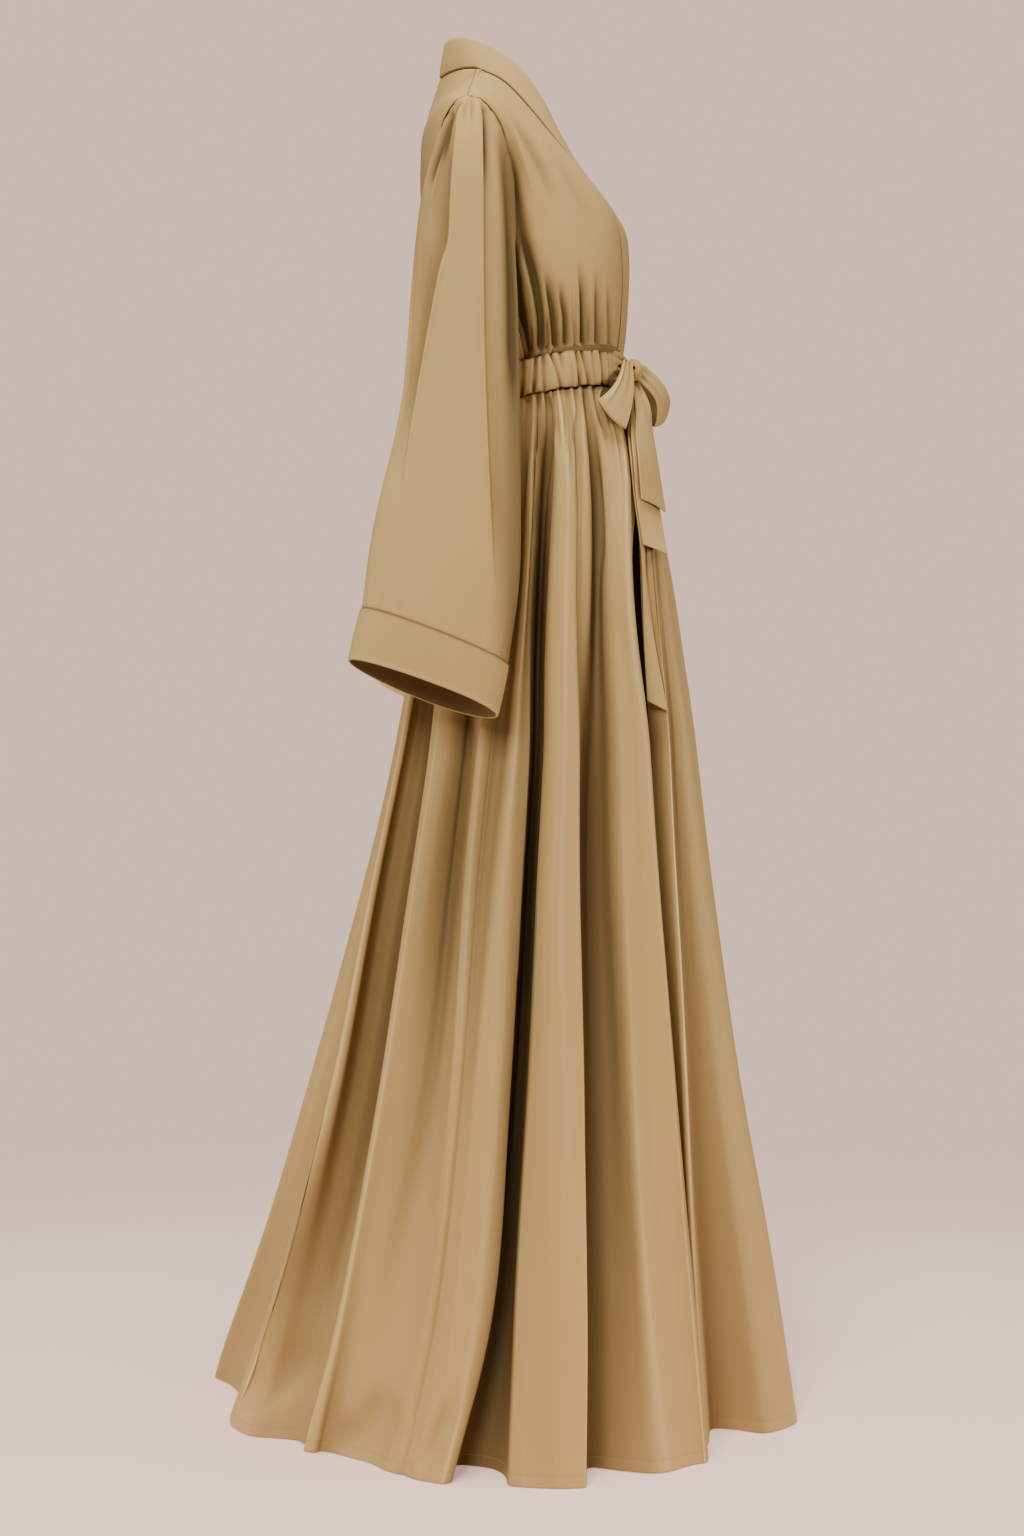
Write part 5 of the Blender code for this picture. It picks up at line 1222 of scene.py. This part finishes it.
def casing():
    bearing = np.linspace(*waist["bearings"], waist["columns"])
    up = spaced(cloak["bandHeight"], waist["step"]) / cloak["bandHeight"]
    draw = np.random.default_rng(19)
    creases = list(waist["drawn"])
    turn = 103.0
    while turn < 352:
        low, high = draw.uniform(0.5, 1.0, 2) * np.where(draw.uniform(0, 1, 2) < 0.3, 0.2, 1.0)
        creases.append((turn + draw.uniform(-2.6, 2.6), turn + draw.uniform(-2.6, 2.6), high, low))
        turn += waist["creaseSpacing"] * draw.uniform(0.6, 1.4)
    relief = np.zeros((len(up), len(bearing)))
    for topAz, lowAz, high, low in creases:
        wide = draw.uniform(0.8, 1.5)
        line = lowAz + (topAz - lowAz) * up + draw.uniform(-1.0, 1.0) * np.sin(np.pi * up)
        depth = (low * np.exp(-(up / 0.4) ** 2) + high * np.exp(-((1 - up) / 0.4) ** 2)
                 + 0.25 * min(low, high)) * waist["creaseDepth"]
        apart = bearing[None, :] - line[:, None]
        relief += depth[:, None] * (np.exp(-(apart / wide) ** 2)
                                    - 0.3 * np.exp(-((apart - wide * 2.2) / (wide * 1.5)) ** 2))
    ends = smooth(np.minimum(bearing - bearing[0], bearing[-1] - bearing) / 12.0)
    puff = waist["puff"] * np.sin(np.pi * up) ** 0.4
    out = waist["lift"] + puff[:, None] - relief * ends * (0.35 + 0.65 * np.sin(np.pi * up) ** 0.4)[:, None]
    # a line of stitches holds the casing down just inside each edge
    for place in (waist["stitchIn"] / cloak["bandHeight"], 1 - waist["stitchIn"] / cloak["bandHeight"]):
        out = out - waist["stitchDip"] * np.exp(-((up - place) / 0.03) ** 2)[:, None]
    out = np.maximum(out, waist["leastLift"])
    ring = waistRing(bearing[None, :], out)
    ring[..., 1] += under(ring[..., 0], ring[..., 1]) * (bearing > 180)[None, :]
    z = waistHeight(ring[..., 1]) + cloak["bandHeight"] * up[:, None]
    column = np.arange(len(bearing))
    scallop = 0.0006 * np.sin(column * 0.23) + 0.0005 * np.sin(column * 0.61)
    z += scallop[None, :] * (1 - 2 * up)[:, None]
    # painted shade in the creases, a faint painted highlight between them
    shade = np.clip(relief * ends / waist["creaseDepth"], waist["creaseLight"], 1) * waist["creaseShade"]
    return np.concatenate([ring, z[..., None]], 2), up, shade


grid, up, shade = casing()
out = outward(grid)
lines = []
for name, height in (("lower", waist["stitchIn"]), ("upper", cloak["bandHeight"] - waist["stitchIn"])):
    row = int(np.argmin(abs(up * cloak["bandHeight"] - height)))
    lines.append(stitchLine(f"waistband_{name}_stitches", grid[row, 4:-4], out[row, 4:-4]))
# painted shade along both edges
shade = shade + seamShade(grid, ("first row", "last row"), *waist["seamPaintedShade"])
piece = clothMesh("waistband_casing", grid, grid - out * waist["wall"], hollow=shade)
declare(piece, trimMaterial, ["waistband"], lines)
print("waistband")


# tie: two straps, a knot, two loops and three hanging ends
tie = {
    "wall": 0.0018, "step": 0.0034, "pleatDepth": 0.0016,
    "knot": (-0.014, -0.1745, -0.313), "knotReach": (0.012, 0.01, 0.0115), "knotWall": 0.0022,
    # straps: bearings, then heights of the lower and upper edge, each from the side to the knot
    "straps": {"right": (34.0, 6.9), "left": (-34.0, -0.9)},
    "strapLow": (-0.337, -0.32), "strapHigh": (-0.299, -0.305), "strapOut": 0.002, "strapLift": 0.0092,
    "strapFold": 0.002, "strapPuff": 0.0015,
    "strapShade": 0.75,    # painted shade between the folds of the straps
    # loops: how far the far end is rounded off, how far the two sides part at the knot, depth of the pleats
    "loopRound": 0.0075, "loopLift": 0.0035, "loopPleat": 0.0014,
    # hanging ends: left edge x y z, right edge x y z, from the knot down
    "upper": {"rows": [
        (-0.017, -0.1745, -0.3279, -0.006, -0.179, -0.3269),
        (-0.046, -0.1761, -0.3571, -0.018, -0.1918, -0.3505),
        (-0.083, -0.1744, -0.3895, -0.034, -0.1947, -0.3819),
        (-0.11, -0.1759, -0.4242, -0.053, -0.1986, -0.415),
        (-0.116, -0.1786, -0.465, -0.07, -0.2064, -0.4737)],
        "flat": (0.05, 0.17), "area": 0.006, "held": "hung", "restsOn": ["bow_knot_ribbon"]},
    "middle": {"rows": [
        (-0.016, -0.17, -0.3279, -0.006, -0.173, -0.3284),
        (-0.046, -0.1715, -0.3614, -0.02, -0.1865, -0.3568),
        (-0.087, -0.1692, -0.3902, -0.036, -0.1887, -0.3851),
        (-0.115, -0.1707, -0.4251, -0.055, -0.1925, -0.4193),
        (-0.118, -0.1734, -0.4646, -0.071, -0.1993, -0.468),
        (-0.121, -0.1797, -0.5133, -0.111, -0.2054, -0.5223)],
        "flat": (0.05, 0.22), "area": 0.008, "held": "hung", "restsOn": ["bow_knot_ribbon"]},
    "lower": {"rows": [
        (-0.015, -0.1662, -0.3255, -0.007, -0.1677, -0.3262),
        (-0.048, -0.1675, -0.3635, -0.034, -0.1755, -0.3615),
        (-0.087, -0.1664, -0.3948, -0.062, -0.1754, -0.3934),
        (-0.11, -0.1678, -0.4243, -0.086, -0.1783, -0.423),
        (-0.114, -0.1715, -0.4644, -0.092, -0.181, -0.4631),
        (-0.117, -0.1768, -0.5072, -0.109, -0.1818, -0.5075),
        (-0.117, -0.1793, -0.5411, -0.112, -0.1837, -0.5418),
        (-0.125, -0.1802, -0.6108, -0.123, -0.1909, -0.6135),
        (-0.129, -0.1834, -0.6773, -0.127, -0.2043, -0.6876)],
        "flat": (0.034, 0.4), "area": 0.0078, "held": "hung", "restsOn": ["bow_knot_ribbon"]},
}


def ribbon(name, facts, node, curl):
    rows = np.array(facts["rows"])
    fine = through(np.arange(len(rows)), rows, np.linspace(0, len(rows) - 1, 200))
    gone = run((fine[:, :3] + fine[:, 3:]) / 2)
    at = np.interp(spaced(gone[-1], tie["step"], False), gone, np.linspace(0, len(rows) - 1, 200))
    path = through(np.arange(len(rows)), rows, at)
    across = np.concatenate([[0, 0.02, 0.06], np.linspace(0.12, 0.88, 14), [0.94, 0.98, 1.0]])
    grid = path[:, None, :3] * (1 - across[None, :, None]) + path[:, None, 3:] * across[None, :, None]
    out = outward(grid)
    down = np.linspace(0, 1, len(at))[:, None]
    # creases that run down from the knot, and a soft curl across
    deep = tie["pleatDepth"]
    pleat = sum(deep * np.cos((across[None, :] * n + 0.2) * 2 * np.pi) * np.exp(-(down / reach) ** 2)
                for n, reach in ((2, 0.22), (3, 0.12)))
    grid = grid + out * (pleat + curl * np.sin(np.pi * across)[None, :] * smooth(down * 3))[..., None]
    out = outward(grid)
    piece = clothMesh(name, grid, grid - out * tie["wall"])
    declare(piece, ribbonMaterial, [node])


for end, curl in (("upper", 0.002), ("middle", 0.0012), ("lower", 0.0008)):
    ribbon(f"tail_{end}_ribbon", tie[end], "tail_" + end, curl)

# each loop runs from the knot to its far end: wide points across it, half and narrow are half its width
# at the far end and at the knot, bulge is how far its two sides stand apart from the middle, and far
# leans the far end out; the near side narrows by mouth on one edge, and slot is a painted shade line down
# it
loops = {
    "right": {"start": (-0.0245, -0.165, -0.307), "end": (-0.125, -0.1425, -0.384),
              "wide": (0.295, -0.661, -0.69), "half": 0.0215, "far": 0.004, "bulge": 0.0085,
              "narrow": 0.007, "mouth": -0.3, "slot": 0.95,
              "flat": (0.05, 0.25), "area": 0.0085, "held": "folded", "restsOn": ["bow_knot_ribbon"]},
    "left": {"start": (0.006, -0.178, -0.311), "end": (0.045, -0.209, -0.361),
             "wide": (-0.514, 0.476, -0.711), "half": 0.019, "far": 0.004, "bulge": 0.0125,
             "narrow": 0.012, "mouth": 0.5, "slot": 0.0,
             "flat": (0.04, 0.17), "area": 0.0055, "held": "folded", "restsOn": ["bow_knot_ribbon"]},
}


def bowLoop(side):
    facts = loops[side]
    start, end, wide = (np.array(facts[k]) for k in ("start", "end", "wide"))
    length = np.linalg.norm(end - start)
    d = (end - start) / length
    w = unit(wide - d * np.dot(wide, d))
    n = unit(np.cross(d, w))
    if n[1] > 0:
        n = -n
    t = np.linspace(0, 1, 110)
    turn = (t - 0.5) * 2 * np.pi * 0.97
    away = (1 + np.cos(turn)) / 2
    opened = np.sin(turn) * (0.35 + 0.65 * np.sin(np.pi * np.clip(away, 0, 1)) ** 0.7)
    half = facts["narrow"] + (facts["half"] - facts["narrow"]) * away ** 0.9
    across = np.concatenate([[-1, -0.97, -0.92], np.linspace(-0.84, 0.84, 18), [0.92, 0.97, 1.0]])
    shape = facts["bulge"] * (1 - 0.15 * across * across)
    # the near side is narrower on one edge, so the loop's mouth shows; its far end is rounded
    nearSide = (across * facts["mouth"] > 0)[None, :] & (opened > 0)[:, None]
    narrowed = across[None, :] * (1 - abs(facts["mouth"]) * np.sin(np.pi * away))[:, None]
    drawnIn = np.where(nearSide, narrowed, across[None, :])
    rounded = tie["loopRound"] * across[None, :] ** 2 * (away ** 4)[:, None]
    lift = tie["loopLift"] * np.sign(turn) * (1 - away)
    along = length * away[:, None] - rounded
    height = opened[:, None] * shape[None, :] + (lift + facts["far"] * away)[:, None]
    grid = start + d * along[..., None] + w * (drawnIn * half[:, None])[..., None] + n * height[..., None]
    pleat = tie["loopPleat"] * np.cos(across[None, :] * 2.5 * np.pi) * ((1 - away)[:, None] ** 1.5)
    grid = grid + n * pleat[..., None] * np.sign(turn)[:, None, None]
    normal = unit(np.cross(np.gradient(grid, axis=1), np.gradient(grid, axis=0)))
    centre = grid.mean(axis=(0, 1))
    if np.sum(normal * (grid - centre)) < 0:
        normal = -normal
    # painted shade in the pleats by the knot, painted highlight along both edges,
    # and a painted shade line inside the mouth with a faint painted highlight beside it
    shade = (0.35 * (1 - away[:, None]) ** 3 * (0.5 - 0.5 * np.cos(across[None, :] * 2.5 * np.pi))
             + seamShade(grid, ("first column", "last column"), -0.1, 0.002))
    slot = np.exp(-((across + 0.58) / 0.06) ** 2) - 0.5 * np.exp(-((across + 0.78) / 0.08) ** 2)
    shade = shade + facts["slot"] * slot[None, :] * ((opened > 0) * np.sin(np.pi * away))[:, None]
    inner = grid - normal * tie["wall"]
    piece = clothMesh(f"bow_loop_{side}_ribbon", grid, inner, hollow=shade, inside=0.85)
    declare(piece, ribbonMaterial, ["bow_loop_" + side])


for side in loops:
    bowLoop(side)

turn = np.linspace(0, 2 * np.pi, 64, endpoint=False)
wide, deep, tall = tie["knotReach"]
rows = []
for h in np.linspace(-1, 1, 22):
    size = np.sqrt(1 - 0.86 * h * h) + 0.05 * np.cos(2.5 * np.pi * h)
    rows.append(np.array(tie["knot"]) + np.stack(
        [np.full(64, h * wide), np.cos(turn) * deep * size, np.sin(turn) * tall * size], 1))
grid = np.array(rows)
out = grid - np.array(tie["knot"])
out[..., 0] = 0
piece = clothMesh("bow_knot_ribbon", grid, grid - unit(out) * tie["knotWall"], True)
declare(piece, ribbonMaterial, ["bow_knot"])


def strap(side, bearings):
    low, high, start, lift = tie["strapLow"], tie["strapHigh"], tie["strapOut"], tie["strapLift"]
    share = np.linspace(0, 1, 40)
    turn = bearings[0] + (bearings[1] - bearings[0]) * share
    heights = np.concatenate([[0, 0.03, 0.08], np.linspace(0.16, 0.84, 12), [0.92, 0.97, 1]])
    rows = []
    for h in heights:
        # three folds run together towards the knot
        fold = tie["strapFold"] * np.cos(h * 3 * 2 * np.pi) * smooth(share * 1.4)
        ring = waistRing(turn, start + lift * share + fold + tie["strapPuff"] * np.sin(np.pi * h))
        bottom, top = low[0] + (low[1] - low[0]) * share, high[0] + (high[1] - high[0]) * share
        rows.append(np.column_stack([ring, bottom + (top - bottom) * h]))
    grid = np.array(rows)
    out = outward(grid)
    # painted shade between the folds, growing towards the knot
    shade = tie["strapShade"] * np.clip(-np.cos(heights[:, None] * 6 * np.pi), 0, 1)
    shade = shade * smooth(share * 1.4)[None, :]
    piece = clothMesh(f"belt_strap_{side}_ribbon", grid, grid - out * tie["wall"], hollow=shade)
    declare(piece, ribbonMaterial, ["belt_strap_" + side])


for side, bearings in tie["straps"].items():
    strap(side, bearings)
print("tie")

low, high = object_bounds()
